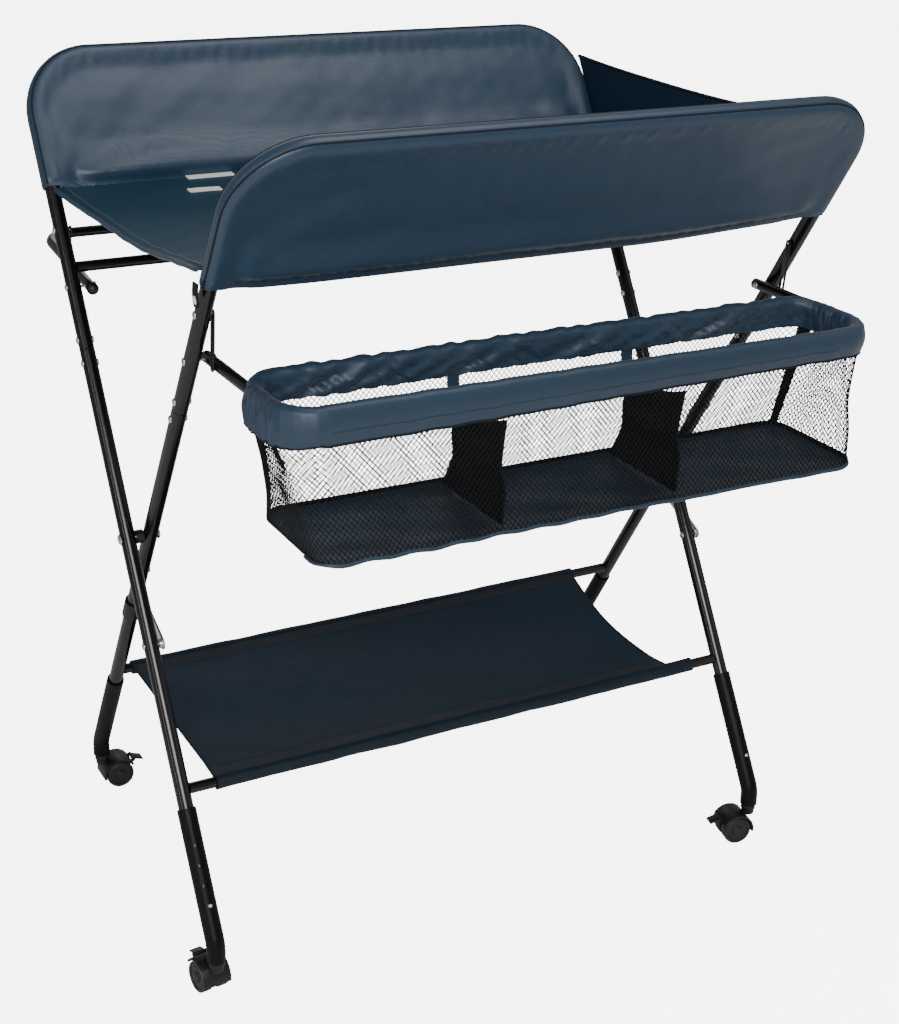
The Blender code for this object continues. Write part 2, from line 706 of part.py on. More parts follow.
def make_basket(root):
    """The storage basket on frame B: tube, back rod, struts, bag and two dividers."""
    hinge_y, hinge_z = leg_place(REAR, ARM_REACH)
    arms = empty("basket_axis", root, (frame_x(REAR), hinge_y, hinge_z))
    node("basket_frame", arm_loop(BASKET_LENGTH, BASKET_CORNER), frame_paint(), arms)
    rod = cylinder(ROD_RADIUS, -ARM_X + ARM_RADIUS + GAP, ARM_X - ARM_RADIUS - GAP, "X", 8)
    node("basket_rod", rod, steel(), arms, (0, -ROD_OFFSET, 0))
    make_struts(root, REAR, "basket", 0, BASKET_STRUT_HOLD, BASKET_STRUT_SLOT)
    node("basket_bag", bag_mesh(), navy_fabric(), arms)
    floor_z = -ARM_RADIUS - GAP - BAG_DEPTH + BAG_WALL
    front = -BASKET_LENGTH - ARM_RADIUS + BAG_WALL + BAG_FRONT_INSET
    back = -ROD_OFFSET - ROD_RADIUS - BAG_WALL - GAP
    share = DIVIDER_HEIGHT / BAG_DEPTH
    low_back = back + BAG_BACK_FLARE - DIVIDER_PLAY
    high_back = back + BAG_BACK_FLARE * (1 - share) - DIVIDER_PLAY
    low, high = floor_z + 2 * GAP, floor_z + DIVIDER_HEIGHT
    near = front + DIVIDER_PLAY
    outline = [(near, low), (low_back, low), (high_back, high), (near, high)]
    for name, x in zip(("left", "right"), DIVIDER_PLACES):
        sheet = prism(outline, DIVIDER_THICKNESS)
        node(f"basket_divider_{name}", sheet, net_fabric(), arms, (x, 0, 0), smooth=False)


def make_rail(root):
    """The towel rail on frame A: tube, two struts and an end cap on each arm."""
    hinge_y, hinge_z = leg_place(FRONT, ARM_REACH)
    arms = empty("rail_axis", root, (frame_x(FRONT), hinge_y, hinge_z), (-RAIL_RISE, 0, math.pi))
    node("rail_tube", arm_loop(RAIL_LENGTH, RAIL_CORNER), frame_paint(), arms)
    make_struts(root, FRONT, "rail", RAIL_RISE, RAIL_STRUT_HOLD, RAIL_STRUT_SLOT)
    profile = [(0, 0), (ARM_RADIUS, 0)]
    for k in range(1, 5):
        turn = math.pi / 2 * k / 5
        height = (CAP_SHOULDER_SHARE + math.sin(turn)) * CAP_RADIUS
        profile.append((CAP_RADIUS * math.cos(turn * CAP_TAPER_SHARE), height))
    profile.append((0, (1 + CAP_SHOULDER_SHARE) * CAP_RADIUS))
    cap = turned_to_y(turned(profile, "Z", SIDES))
    for side, end in ((1, "left"), (-1, "right")):
        node(f"rail_cap_{end}", cap, black_plastic(), arms, (side * ARM_X, ARM_TAIL + GAP, 0))


def guard_mesh():
    """A padded panel that fills the upper part of a hoop."""
    edge = LEG_X - TUBE_RADIUS - GUARD_GAP
    top = HOOP_REACH - TUBE_RADIUS - GUARD_GAP
    corner = HOOP_CORNER - TUBE_RADIUS - GUARD_GAP
    corners = [(-edge, 0, GUARD_BOTTOM), (-edge, 0, top), (edge, 0, top), (edge, 0, GUARD_BOTTOM)]
    path = rounded_path(corners, corner)
    mesh = prism([(point.x, point.z) for point in path], GUARD_THICKNESS)
    mesh.transform(Matrix.Rotation(math.pi / 2, 4, "Z"))
    return mesh


def sagging_sheet(left, right, front, back, sag, thickness, rows=9):
    """A sheet that spans from front to back and hangs in a shallow curve between them."""
    vertices = []
    for k in range(rows + 1):
        share = k / rows
        y = front + (back - front) * share
        drop = 4 * sag * share * (1 - share)
        for z in (-drop, -drop - thickness):
            vertices += [Vector((left, y, z)), Vector((right, y, z))]
    faces = [(0, 1, 3, 2), tuple(4 * rows + k for k in (0, 2, 3, 1))]
    for k in range(rows):
        a, b = 4 * k, 4 * k + 4
        faces += [(a, b, b + 1, a + 1), (a + 2, a + 3, b + 3, b + 2)]
        faces += [(a, a + 2, b + 2, b), (a + 1, b + 1, b + 3, a + 3)]
    return mesh_of(vertices, faces)


def leg_half_width():
    """Half the width along Y of a leg cut level, with room to spare."""
    return TUBE_RADIUS / math.cos(LEG_ANGLE) + LEG_PLAY


def make_fabric(root, frames):
    """Guards in the hoops, the sling and end panel between them, the shelf and the snap tab."""
    node("rear_guard", guard_mesh(), navy_fabric(), frames[FRONT])
    node("front_guard", guard_mesh(), navy_fabric(), frames[REAR])
    half_depth = (SLING_TOP - PIVOT_HEIGHT) * math.tan(LEG_ANGLE) - leg_half_width()
    edge = LEG_X + SLING_END_GAP / 2
    sling = sagging_sheet(-edge, edge, -half_depth, half_depth, SLING_SAG, SLING_THICKNESS)
    node("top_sling", sling, navy_fabric(), root, (0, 0, SLING_TOP), smooth=False)
    low = SLING_TOP + 4 * GAP
    low_y = (low - PIVOT_HEIGHT) * math.tan(LEG_ANGLE) - leg_half_width()
    high_y = (PANEL_TOP - PIVOT_HEIGHT) * math.tan(LEG_ANGLE) - leg_half_width()
    panel = prism([(-low_y, low), (low_y, low), (high_y, PANEL_TOP), (-high_y, PANEL_TOP)], PANEL_THICKNESS)
    node("end_panel", panel, navy_fabric(), root, (LEG_X + LEG_PITCH / 4, 0, 0), smooth=False)
    bar_y, bar_z = leg_place(REAR, -SHELF_BAR)
    half_shelf = bar_y - BAR_RADIUS - 3 * GAP
    shelf = sagging_sheet(
        SHELF_LEFT - LEG_X, LEG_X - SHELF_RIGHT, -half_shelf, half_shelf, SHELF_SAG, SHELF_THICKNESS
    )
    node("shelf_sling", shelf, navy_fabric(), root, (0, 0, bar_z), smooth=False)
    tab_y, tab_z = leg_place(REAR, (SLING_TOP - PIVOT_HEIGHT) / math.cos(LEG_ANGLE))
    half = TAB_WIDTH / 2
    outline = [(-half, -TAB_LENGTH), (half, -TAB_LENGTH), (half, 0), (-half, 0)]
    tab_x = frame_x(REAR) - LEG_X - TUBE_RADIUS - LEG_PITCH / 4
    node(
        "snap_tab", prism(outline, TAB_THICKNESS), net_fabric(), root, (tab_x, tab_y, tab_z), smooth=False
    )


def stand_on_origin(root):
    """Moves the whole table so that the middle of its box's base is at the origin."""
    bpy.context.view_layer.update()
    corners = [
        obj.matrix_world @ vertex.co
        for obj in bpy.context.scene.objects
        if obj.type == "MESH"
        for vertex in obj.data.vertices
    ]
    for axis in (0, 1):
        values = [corner[axis] for corner in corners]
        root.location[axis] = -(min(values) + max(values)) / 2
    root.location[2] = -min(corner.z for corner in corners)


def main():
    for obj in list(bpy.data.objects):
        bpy.data.objects.remove(obj, do_unlink=True)
    root = empty("table", None)
    frames = {}
    for foot, name in ((FRONT, "frame_a_axis"), (REAR, "frame_b_axis")):
        place = (frame_x(foot), 0, PIVOT_HEIGHT)
        frames[foot] = empty(name, root, place, (foot * LEG_ANGLE, 0, 0))
    make_frame(FRONT, frames[FRONT], "frame_a", "rear_hoop")
    make_frame(REAR, frames[REAR], "frame_b", "front_hoop")
    bar_between_legs("crossbar", frames[FRONT], CROSSBAR_REACH)
    bar_between_legs("shelf_bar_front", frames[FRONT], -SHELF_BAR)
    bar_between_legs("shelf_bar_rear", frames[REAR], -SHELF_BAR)
    make_pivots(root)
    make_stay_links(root)
    make_collar(frames[REAR])
    make_feet(root, frames)
    make_basket(root)
    make_rail(root)
    make_fabric(root, frames)
    stand_on_origin(root)


main()
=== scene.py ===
# %% [markdown]
# # Folding changing table
#
# Two crossed tube frames hold a fabric top between padded guards. A net basket hangs at the
# front, a towel rail sticks out at the rear, a cloth shelf spans the lower bars and each foot
# slides over its leg and stands on a braked twin-wheel caster.
#
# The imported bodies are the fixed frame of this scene. Every visible piece is modelled round
# them: fine tubes and small repeated parts with Geometry Nodes, cloth as curved sheets and
# padded shells that are shaped in code, so that each run gives the same table.

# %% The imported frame
import math
import random

import bmesh
import bpy
from mathutils import Matrix, Vector
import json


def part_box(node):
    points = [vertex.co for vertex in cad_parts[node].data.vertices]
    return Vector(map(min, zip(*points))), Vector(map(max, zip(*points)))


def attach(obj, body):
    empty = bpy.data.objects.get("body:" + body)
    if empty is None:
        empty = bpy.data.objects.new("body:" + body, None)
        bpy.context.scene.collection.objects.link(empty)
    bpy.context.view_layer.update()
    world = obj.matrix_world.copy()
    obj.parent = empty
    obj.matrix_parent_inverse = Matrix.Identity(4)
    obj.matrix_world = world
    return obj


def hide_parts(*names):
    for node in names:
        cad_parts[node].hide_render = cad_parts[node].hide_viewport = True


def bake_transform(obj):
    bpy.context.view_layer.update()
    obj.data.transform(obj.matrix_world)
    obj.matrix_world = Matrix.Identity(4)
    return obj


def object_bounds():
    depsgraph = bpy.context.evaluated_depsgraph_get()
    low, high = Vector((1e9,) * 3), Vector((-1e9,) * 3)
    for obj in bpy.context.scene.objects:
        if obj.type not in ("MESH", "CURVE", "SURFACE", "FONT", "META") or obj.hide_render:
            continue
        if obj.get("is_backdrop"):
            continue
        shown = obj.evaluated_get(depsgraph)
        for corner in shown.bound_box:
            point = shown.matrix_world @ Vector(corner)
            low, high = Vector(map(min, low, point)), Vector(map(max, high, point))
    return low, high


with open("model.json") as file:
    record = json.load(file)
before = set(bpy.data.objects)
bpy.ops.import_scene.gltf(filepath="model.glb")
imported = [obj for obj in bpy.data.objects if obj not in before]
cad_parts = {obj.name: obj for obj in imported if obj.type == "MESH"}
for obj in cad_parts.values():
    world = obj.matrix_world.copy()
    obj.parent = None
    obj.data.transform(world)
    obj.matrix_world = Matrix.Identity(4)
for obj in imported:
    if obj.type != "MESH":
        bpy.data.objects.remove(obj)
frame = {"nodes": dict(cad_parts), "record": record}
cad_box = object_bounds()
joints = {joint["name"]: joint for joint in frame["record"]["behaviour"]["joints"]}

# %% [markdown]
# ## Places on the frames
#
# Frame A has its feet at the front and carries the rear hoop; frame B is the other way round.
# Both lean by the same angle and turn on one pivot. A place on a frame is easiest to say in
# that frame's own terms: how far across, how far up its legs, and how far out of its plane.
# Turning those three numbers into a point is one short function, and everything else uses it.

# %% Places on the frames
FRAME_A, FRAME_B = -1, 1
PIVOT = Vector(joints["fold"]["pos_m"])
LEAN = math.asin(abs(joints["height_front_left"]["axis"][1]))
LEG_X = 0.350
HALF_PITCH = 0.0125
TUBE = 0.00825
SLIM = 0.006
HOOP_REACH = 0.547
HOOP_CORNER = 0.072
HOOP_JOINT = 0.210


def on_frame(side, across, reach, out=0.0):
    """The point of a frame this far across, up its legs from the pivot, and out of its plane."""
    up = Vector((0, -side * math.sin(LEAN), math.cos(LEAN)))
    outward = Vector((0, -side * math.cos(LEAN), -math.sin(LEAN)))
    return PIVOT + Vector((side * HALF_PITCH + across, 0, 0)) + up * reach + outward * out


def smooth(value, low=0.0, high=1.0):
    """0 below low, 1 above high, and an easy S between them."""
    share = min(1.0, max(0.0, (value - low) / (high - low)))
    return share * share * (3 - 2 * share)


print("pivot", [round(v, 4) for v in PIVOT], "lean", round(math.degrees(LEAN), 2))

# %% [markdown]
# ## Camera and light
#
# The table is seen from the left front, a little above its top, through a slightly long lens.
# The camera's direction is built from a yaw, a pitch and a small roll, because those three
# can be read and changed one at a time. Large soft lights give the satin cloth its broad
# bands of light, and a tall narrow one gives the gloss tubes their thin highlight. The world
# lights the table only a little, but is paler where the camera sees it directly.

# %% Camera and light
EYE = Vector((-0.903120, -1.670284, 1.2150))
YAW, PITCH, ROLL = 0.5056, 0.3997, 0.0273
LENS_MM, SENSOR_MM = 70.59, 36
WORLD_LIGHT, WORLD_SEEN = 0.30, 0.62


def aim(yaw, pitch, roll):
    """A camera's turn from its yaw, pitch and roll."""
    ahead = Vector((math.sin(yaw) * math.cos(pitch), math.cos(yaw) * math.cos(pitch), -math.sin(pitch)))
    right = Vector((math.cos(yaw), -math.sin(yaw), 0))
    up = right.cross(ahead)
    turned_right = right * math.cos(roll) + up * math.sin(roll)
    turned_up = up * math.cos(roll) - right * math.sin(roll)
    return Matrix((turned_right, turned_up, -ahead)).transposed()


lens = bpy.data.cameras.new("camera")
lens.lens = LENS_MM
lens.sensor_width = SENSOR_MM
lens.sensor_fit = "HORIZONTAL"
camera = bpy.data.objects.new("camera", lens)
camera.matrix_world = Matrix.Translation(EYE) @ aim(YAW, PITCH, ROLL).to_4x4()
bpy.context.scene.collection.objects.link(camera)
bpy.context.scene.camera = camera


def soft_light(name, place, towards, size, power):
    """A rectangular area light that faces a point."""
    data = bpy.data.lights.new(name, "AREA")
    data.shape = "RECTANGLE"
    data.size, data.size_y = size
    data.energy = power
    light = bpy.data.objects.new(name, data)
    light.location = place
    light.rotation_euler = (Vector(towards) - Vector(place)).to_track_quat("-Z", "Y").to_euler()
    bpy.context.scene.collection.objects.link(light)


soft_light("key", (-1.3, -2.6, 1.9), (0, 0, 0.6), (1.5, 1.2), 82)
soft_light("top", (0.5, -0.6, 2.8), (0, 0, 0.8), (1.4, 1.2), 24)
soft_light("side strip", (-2.3, -0.7, 1.0), (0, 0, 0.5), (0.16, 2.2), 9)
soft_light("fill", (2.2, -1.8, 1.6), (0, 0, 0.5), (1.6, 1.6), 5)
soft_light("rear", (0.6, 2.4, 1.8), (0, 0, 0.6), (1.2, 1.2), 6)

world = bpy.data.worlds.new("studio")
world.use_nodes = True
world_nodes = world.node_tree.nodes
world_nodes["Background"].inputs["Color"].default_value = (1, 1, 1, 1)
ray = world_nodes.new("ShaderNodeLightPath")
brighter = world_nodes.new("ShaderNodeMath")
brighter.operation = "MULTIPLY_ADD"
brighter.inputs[1].default_value = WORLD_SEEN
brighter.inputs[2].default_value = WORLD_LIGHT
world.node_tree.links.new(ray.outputs["Is Camera Ray"], brighter.inputs[0])
world.node_tree.links.new(brighter.outputs["Value"], world_nodes["Background"].inputs["Strength"])
bpy.context.scene.world = world
print("camera", camera.name, "lights", len(bpy.data.lights))

# %% [markdown]
# ## Finishes
#
# Each finish is a small node tree on the Principled shader: a slow noise mixes two close
# colours, a second one moves the roughness, and a fine pattern makes the bump. Cloth adds
# crossed waves for its threads. Constants such as sheen and coat are set on the shader's own
# sockets. One function builds them all, so a finish is one short row of numbers.

# %% Finishes
ROUGH_SPREAD = 0.05
GRAIN_DEPTH = 0.0004
THREAD_DEPTH, THREAD_STRENGTH, THREAD_WOBBLE = 0.0003, 0.12, 0.4
CRINKLE_SCALE, CRINKLE_DETAIL, CRINKLE_DEPTH = 38, 3, 0.004
COAT_ROUGHNESS, SHEEN_ROUGHNESS = 0.12, 0.45


def finish(name, colour, other, rough, patch=9.0, grain=900.0, bump=0.15, metal=0.0,
           coat=0.0, sheen=0.0, weave=0.0, crinkle=0.0, specular=0.5):
    """A procedural finish: two colours in soft patches, moving roughness and a fine bump."""
    made = bpy.data.materials.new(name)
    made.use_nodes = True
    nodes, links = made.node_tree.nodes, made.node_tree.links
    shader = nodes["Principled BSDF"]
    where = nodes.new("ShaderNodeTexCoord")

    def noise(scale, detail=2.0):
        node = nodes.new("ShaderNodeTexNoise")
        node.inputs["Scale"].default_value = scale
        node.inputs["Detail"].default_value = detail
        links.new(where.outputs["Object"], node.inputs["Vector"])
        return node.outputs["Fac"]

    def bumped(height, strength, distance, below=None):
        node = nodes.new("ShaderNodeBump")
        node.inputs["Strength"].default_value = strength
        node.inputs["Distance"].default_value = distance
        links.new(height, node.inputs["Height"])
        if below:
            links.new(below, node.inputs["Normal"])
        return node.outputs["Normal"]

    mix = nodes.new("ShaderNodeMix")
    mix.data_type = "RGBA"
    mix.inputs["A"].default_value = (*colour, 1)
    mix.inputs["B"].default_value = (*other, 1)
    links.new(noise(patch), mix.inputs["Factor"])
    links.new(mix.outputs["Result"], shader.inputs["Base Color"])
    spread = nodes.new("ShaderNodeMapRange")
    spread.inputs["To Min"].default_value = rough - ROUGH_SPREAD
    spread.inputs["To Max"].default_value = rough + ROUGH_SPREAD
    links.new(noise(patch * 5), spread.inputs["Value"])
    links.new(spread.outputs["Result"], shader.inputs["Roughness"])
    normal = bumped(noise(grain), bump, GRAIN_DEPTH)
    if weave:
        for direction in ("X", "Y", "Z"):
            wave = nodes.new("ShaderNodeTexWave")
            wave.bands_direction = direction
            wave.inputs["Scale"].default_value = weave
            wave.inputs["Distortion"].default_value = THREAD_WOBBLE
            links.new(where.outputs["Object"], wave.inputs["Vector"])
            normal = bumped(wave.outputs["Fac"], THREAD_STRENGTH, THREAD_DEPTH, normal)
    if crinkle:
        normal = bumped(noise(CRINKLE_SCALE, CRINKLE_DETAIL), crinkle, CRINKLE_DEPTH, normal)
    links.new(normal, shader.inputs["Normal"])
    shader.inputs["Metallic"].default_value = metal
    shader.inputs["Coat Weight"].default_value = coat
    shader.inputs["Coat Roughness"].default_value = COAT_ROUGHNESS
    shader.inputs["Sheen Weight"].default_value = sheen
    shader.inputs["Sheen Roughness"].default_value = SHEEN_ROUGHNESS
    shader.inputs["Specular IOR Level"].default_value = specular
    return made


satin = finish("navy satin", (0.0085, 0.0245, 0.0470), (0.0125, 0.0340, 0.0630), 0.38,
               patch=5, bump=0.10, sheen=0.05, weave=330, crinkle=0.05, specular=0.45)
sling_cloth = finish("navy sling satin", (0.0070, 0.0270, 0.0470), (0.0100, 0.0350, 0.0590), 0.46,
                     patch=5, bump=0.10, weave=330, crinkle=0.10, specular=0.16)
shelf_cloth = finish("navy shelf cloth", (0.0042, 0.0145, 0.0300), (0.0062, 0.0195, 0.0380), 0.52,
                     patch=6, bump=0.1, weave=330, crinkle=0.08, specular=0.13)
band_cloth = finish("navy band cloth", (0.0090, 0.0235, 0.0430), (0.0135, 0.0330, 0.0600), 0.42,
                    patch=7, bump=0.1, sheen=0.08, weave=330, crinkle=0.16, specular=0.4)
binding = finish("dark binding", (0.0035, 0.0065, 0.0110), (0.0055, 0.0095, 0.0155), 0.6,
                 patch=30, weave=420, specular=0.2)
net_cord = finish("black net cord", (0.0030, 0.0034, 0.0040), (0.0050, 0.0055, 0.0065), 0.7,
                  patch=60, grain=1500, specular=0.2)
black_tape = finish("black webbing", (0.0040, 0.0040, 0.0045), (0.0070, 0.0070, 0.0080), 0.65,
                    patch=40, weave=500, specular=0.2)
white_tape = finish("white webbing", (0.62, 0.62, 0.60), (0.74, 0.74, 0.72), 0.6, patch=40, weave=500)
snap_white = finish("white snap", (0.70, 0.70, 0.68), (0.80, 0.80, 0.78), 0.3, patch=50, bump=0.02)
gloss_black = finish("gloss black paint", (0.0025, 0.0025, 0.0027), (0.0040, 0.0040, 0.0042), 0.24,
                     patch=20, grain=260, bump=0.03, coat=0.15, specular=0.35)
satin_black = finish("satin black paint", (0.0015, 0.0015, 0.0016), (0.0026, 0.0026, 0.0028), 0.42,
                     patch=20, grain=500, bump=0.05, specular=0.14)
# The dark sheet inside each net divider: painted shade that shows between the cords.
divider_shade_cloth = finish("dark divider shade cloth", (0.0040, 0.0065, 0.0100), (0.0065, 0.0100, 0.0150), 0.60,
                      patch=30, grain=1200, bump=0.10, specular=0.2)
zinc = finish("zinc plate", (0.50, 0.50, 0.51), (0.66, 0.66, 0.66), 0.28,
              patch=60, grain=700, bump=0.05, metal=1.0)
plastic = finish("grained black plastic", (0.0045, 0.0045, 0.0050), (0.0075, 0.0075, 0.0080), 0.40,
                 patch=40, grain=1600, bump=0.2, specular=0.35)
tyre = finish("caster tyre", (0.0075, 0.0075, 0.0080), (0.0120, 0.0120, 0.0125), 0.50,
              patch=50, grain=1300, bump=0.15, specular=0.35)
floor_paint = finish("pale floor", (0.86, 0.86, 0.86), (0.90, 0.90, 0.90), 0.7,
                     patch=2, grain=300, bump=0.01)
print("finishes", len([m for m in bpy.data.materials if m.use_nodes]))

# %% [markdown]
# ## The floor
#
# One large pale plate under the casters. It glows only where it is seen directly, so it looks
# almost white and still takes soft shadows.

# %% The floor
FLOOR_HALF = 15
FLOOR_GLOW = 6.0


def plate(name, half, material):
    """A square plate on the ground."""
    mesh = bpy.data.meshes.new(name)
    corners = [(-half, -half, 0), (half, -half, 0), (half, half, 0), (-half, half, 0)]
    mesh.from_pydata(corners, [], [(0, 1, 2, 3)])
    mesh.materials.append(material)
    made = bpy.data.objects.new(name, mesh)
    bpy.context.scene.collection.objects.link(made)
    return made


floor_nodes, floor_links = floor_paint.node_tree.nodes, floor_paint.node_tree.links
seen = floor_nodes.new("ShaderNodeLightPath")
lift = floor_nodes.new("ShaderNodeMath")
lift.operation = "MULTIPLY"
lift.inputs[1].default_value = FLOOR_GLOW
floor_links.new(seen.outputs["Is Camera Ray"], lift.inputs[0])
floor_nodes["Principled BSDF"].inputs["Emission Color"].default_value = (1, 1, 1, 1)
floor_links.new(lift.outputs["Value"], floor_nodes["Principled BSDF"].inputs["Emission Strength"])
plate("floor", FLOOR_HALF, floor_paint)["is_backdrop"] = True
print("floor plate half", FLOOR_HALF)

# %% [markdown]
# ## Making, finishing and riding a piece
#
# A piece ends as one plain mesh at the origin. `settled` evaluates an object's modifiers into
# such a mesh, and `placed` gives it its smooth shading and its body, and hides the imported
# nodes that it stands for. Keeping those calls together means that no piece is
# forgotten, and a reader sees each piece's body where the piece is made.

# %% Making, finishing and riding a piece
def raw_object(name, mesh):
    """A mesh as an object in the scene."""
    made = bpy.data.objects.new(name, mesh)
    bpy.context.scene.collection.objects.link(made)
    return made


def settled(obj, name=None):
    """The object with its modifiers turned into plain mesh."""
    bpy.context.view_layer.update()
    graph = bpy.context.evaluated_depsgraph_get()
    mesh = bpy.data.meshes.new_from_object(obj.evaluated_get(graph), depsgraph=graph)
    name = name or obj.name
    bpy.data.objects.remove(obj, do_unlink=True)
    mesh.name = name
    return raw_object(name, mesh)


def placed(obj, body, slot, *nodes, sharp=40):
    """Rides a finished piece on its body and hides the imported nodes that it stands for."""
    obj.data.shade_smooth()
    obj.data.set_sharp_from_angle(angle=math.radians(sharp))
    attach(obj, body)
    if nodes:
        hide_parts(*nodes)
    print(f"{obj.name}: {len(obj.data.polygons)} faces on {body}")
    return obj


def joined(name, parts):
    """Several finished meshes as one object, each face keeping its material."""
    work = bmesh.new()
    mesh = bpy.data.meshes.new(name)
    for part in parts:
        first = len(mesh.materials)
        for material in part.data.materials:
            mesh.materials.append(material)
        faces_before = len(work.faces)
        work.from_mesh(part.data)
        work.faces.ensure_lookup_table()
        for face in work.faces[faces_before:]:
            face.material_index += first
        bpy.data.objects.remove(part, do_unlink=True)
    work.to_mesh(mesh)
    work.free()
    return raw_object(name, mesh)


def polyline(paths, closed=False):
    """Bare edges along each list of points, for a tube or a row of stitches to follow."""
    vertices, edges = [], []
    for path in paths:
        start = len(vertices)
        vertices += [tuple(point) for point in path]
        edges += [(start + k, start + k + 1) for k in range(len(path) - 1)]
        if closed:
            edges.append((start + len(path) - 1, start))
    mesh = bpy.data.meshes.new("path")
    mesh.from_pydata(vertices, edges, [])
    return mesh

# %% [markdown]
# ## A tree for tubes
#
# Nearly everything stiff on this table is bent tube, and hems and piping are cords. All follow
# a path, so one Geometry Nodes tree makes them: bare edges become a curve, Fillet Curve rounds
# the corners as a bending machine does, and Curve to Mesh gives the round section.

# %% A tree for tubes
def new_tree(name, sockets):
    """A Geometry Nodes tree with named inputs; returns it with its node and link helpers."""
    tree = bpy.data.node_groups.new(name, "GeometryNodeTree")
    tree.interface.new_socket("Geometry", in_out="INPUT", socket_type="NodeSocketGeometry")
    for label, kind in sockets:
        tree.interface.new_socket(label, in_out="INPUT", socket_type="NodeSocket" + kind)
    tree.interface.new_socket("Geometry", in_out="OUTPUT", socket_type="NodeSocketGeometry")
    return tree, tree.nodes.new("NodeGroupInput"), tree.nodes.new("NodeGroupOutput")


def run_tree(tree, name, mesh, **values):
    """The plain mesh that a tree makes of this one, its inputs set by their identifiers."""
    worker = raw_object(name, mesh)
    modifier = worker.modifiers.new(tree.name, "NODES")
    modifier.node_group = tree
    sockets = {s.name: s.identifier for s in tree.interface.items_tree if s.in_out == "INPUT"}
    for label, value in values.items():
        modifier[sockets[label.replace("_", " ")]] = value
    return settled(worker, name)


tube_tree, entry, leave = new_tree("bent tube", [
    ("Radius", "Float"), ("Corner", "Float"), ("Corner steps", "Int"), ("Sides", "Int"),
    ("Caps", "Bool"), ("Material", "Material")])
nodes, links = tube_tree.nodes, tube_tree.links
to_curve = nodes.new("GeometryNodeMeshToCurve")
fillet = nodes.new("GeometryNodeFilletCurve")
if hasattr(fillet, "mode"):
    fillet.mode = "POLY"
circle = nodes.new("GeometryNodeCurvePrimitiveCircle")
sweep = nodes.new("GeometryNodeCurveToMesh")
coat_it = nodes.new("GeometryNodeSetMaterial")
links.new(entry.outputs["Geometry"], to_curve.inputs["Mesh"])
links.new(to_curve.outputs["Curve"], fillet.inputs["Curve"])
links.new(entry.outputs["Corner"], fillet.inputs["Radius"])
links.new(entry.outputs["Corner steps"], fillet.inputs["Count"])
fillet.inputs["Limit Radius"].default_value = True
links.new(entry.outputs["Sides"], circle.inputs["Resolution"])
links.new(entry.outputs["Radius"], circle.inputs["Radius"])
links.new(fillet.outputs["Curve"], sweep.inputs["Curve"])
links.new(circle.outputs["Curve"], sweep.inputs["Profile Curve"])
links.new(entry.outputs["Caps"], sweep.inputs["Fill Caps"])
realize = nodes.new("GeometryNodeRealizeInstances")
links.new(sweep.outputs["Mesh"], realize.inputs["Geometry"])
links.new(realize.outputs["Geometry"], coat_it.inputs["Geometry"])
links.new(entry.outputs["Material"], coat_it.inputs["Material"])
links.new(coat_it.outputs["Geometry"], leave.inputs["Geometry"])


def tube(name, paths, radius, material, corner=0.0, sides=24, steps=8, caps=True, closed=False):
    """Round tube or cord along one or more paths, turned outwards."""
    made = run_tree(tube_tree, name, polyline(paths, closed), Radius=radius, Corner=corner,
                    Corner_steps=steps, Sides=sides, Caps=caps, Material=material)
    work = bmesh.new()
    work.from_mesh(made.data)
    bmesh.ops.remove_doubles(work, verts=work.verts, dist=1e-6)
    bmesh.ops.recalc_face_normals(work, faces=work.faces)
    work.to_mesh(made.data)
    work.free()
    return made


def hollow(obj, wall):
    """An open-ended tube given its wall, inwards."""
    solid = obj.modifiers.new("wall", "SOLIDIFY")
    solid.thickness = wall
    solid.offset = -1
    return settled(obj)

# %% [markdown]
# ## Hoops, legs and bars
#
# Each frame is an inverted U of painted tube whose ends plug into two straight legs. The legs
# are bored through, so they are open tubes given a wall; the hoop shows no open end, so it is
# capped. Just under a millimetre is left where the hoop meets the leg, and reads as the
# joint's line.

# %% Hoops, legs and bars
LEG_END = 0.4147
SHELF_BAR = -0.2754
CROSSBAR = 0.304
LEG_WALL = 0.0012
JOINT_GAP = 0.0003
BAR_SINK = 0.0006
ENDS = ((-1, "left"), (1, "right"))
hoop_end = HOOP_JOINT + 2 * JOINT_GAP
for side, body, hoop in ((FRAME_A, "frame_a", "rear_hoop"), (FRAME_B, "frame_b", "front_hoop")):
    corners = [on_frame(side, across, reach) for across, reach in (
        (-LEG_X, hoop_end), (-LEG_X, HOOP_REACH), (LEG_X, HOOP_REACH), (LEG_X, hoop_end))]
    bent = tube(f"{hoop}_tube", [corners], TUBE, gloss_black, HOOP_CORNER, steps=12)
    placed(bent, body, "frame_paint", hoop)
    for end, name in ENDS:
        line = [on_frame(side, end * LEG_X, HOOP_JOINT - JOINT_GAP), on_frame(side, end * LEG_X, -LEG_END)]
        leg = tube(f"{body}_leg_tube_{name}", [line], TUBE, gloss_black, caps=False)
        placed(hollow(leg, LEG_WALL), body, "frame_paint", f"{body}_leg_{name}")

bars = (("crossbar", FRAME_A, CROSSBAR, "frame_a"), ("shelf_bar_front", FRAME_A, SHELF_BAR, "frame_a"),
        ("shelf_bar_rear", FRAME_B, SHELF_BAR, "frame_b"))
for name, side, reach, body in bars:
    half = LEG_X - TUBE + BAR_SINK
    line = [on_frame(side, -half, reach), on_frame(side, half, reach)]
    placed(tube(f"{name}_tube", [line], SLIM, gloss_black), body, "frame_paint", name)

# %% [markdown]
# ## Sliding feet
#
# A foot is a slightly wider sleeve with a bend near its end and a row of four adjustment
# holes on its inner face. The holes are real cuts, because they are seen against the light
# tube wall; a Boolean with four short rods makes them in one step.

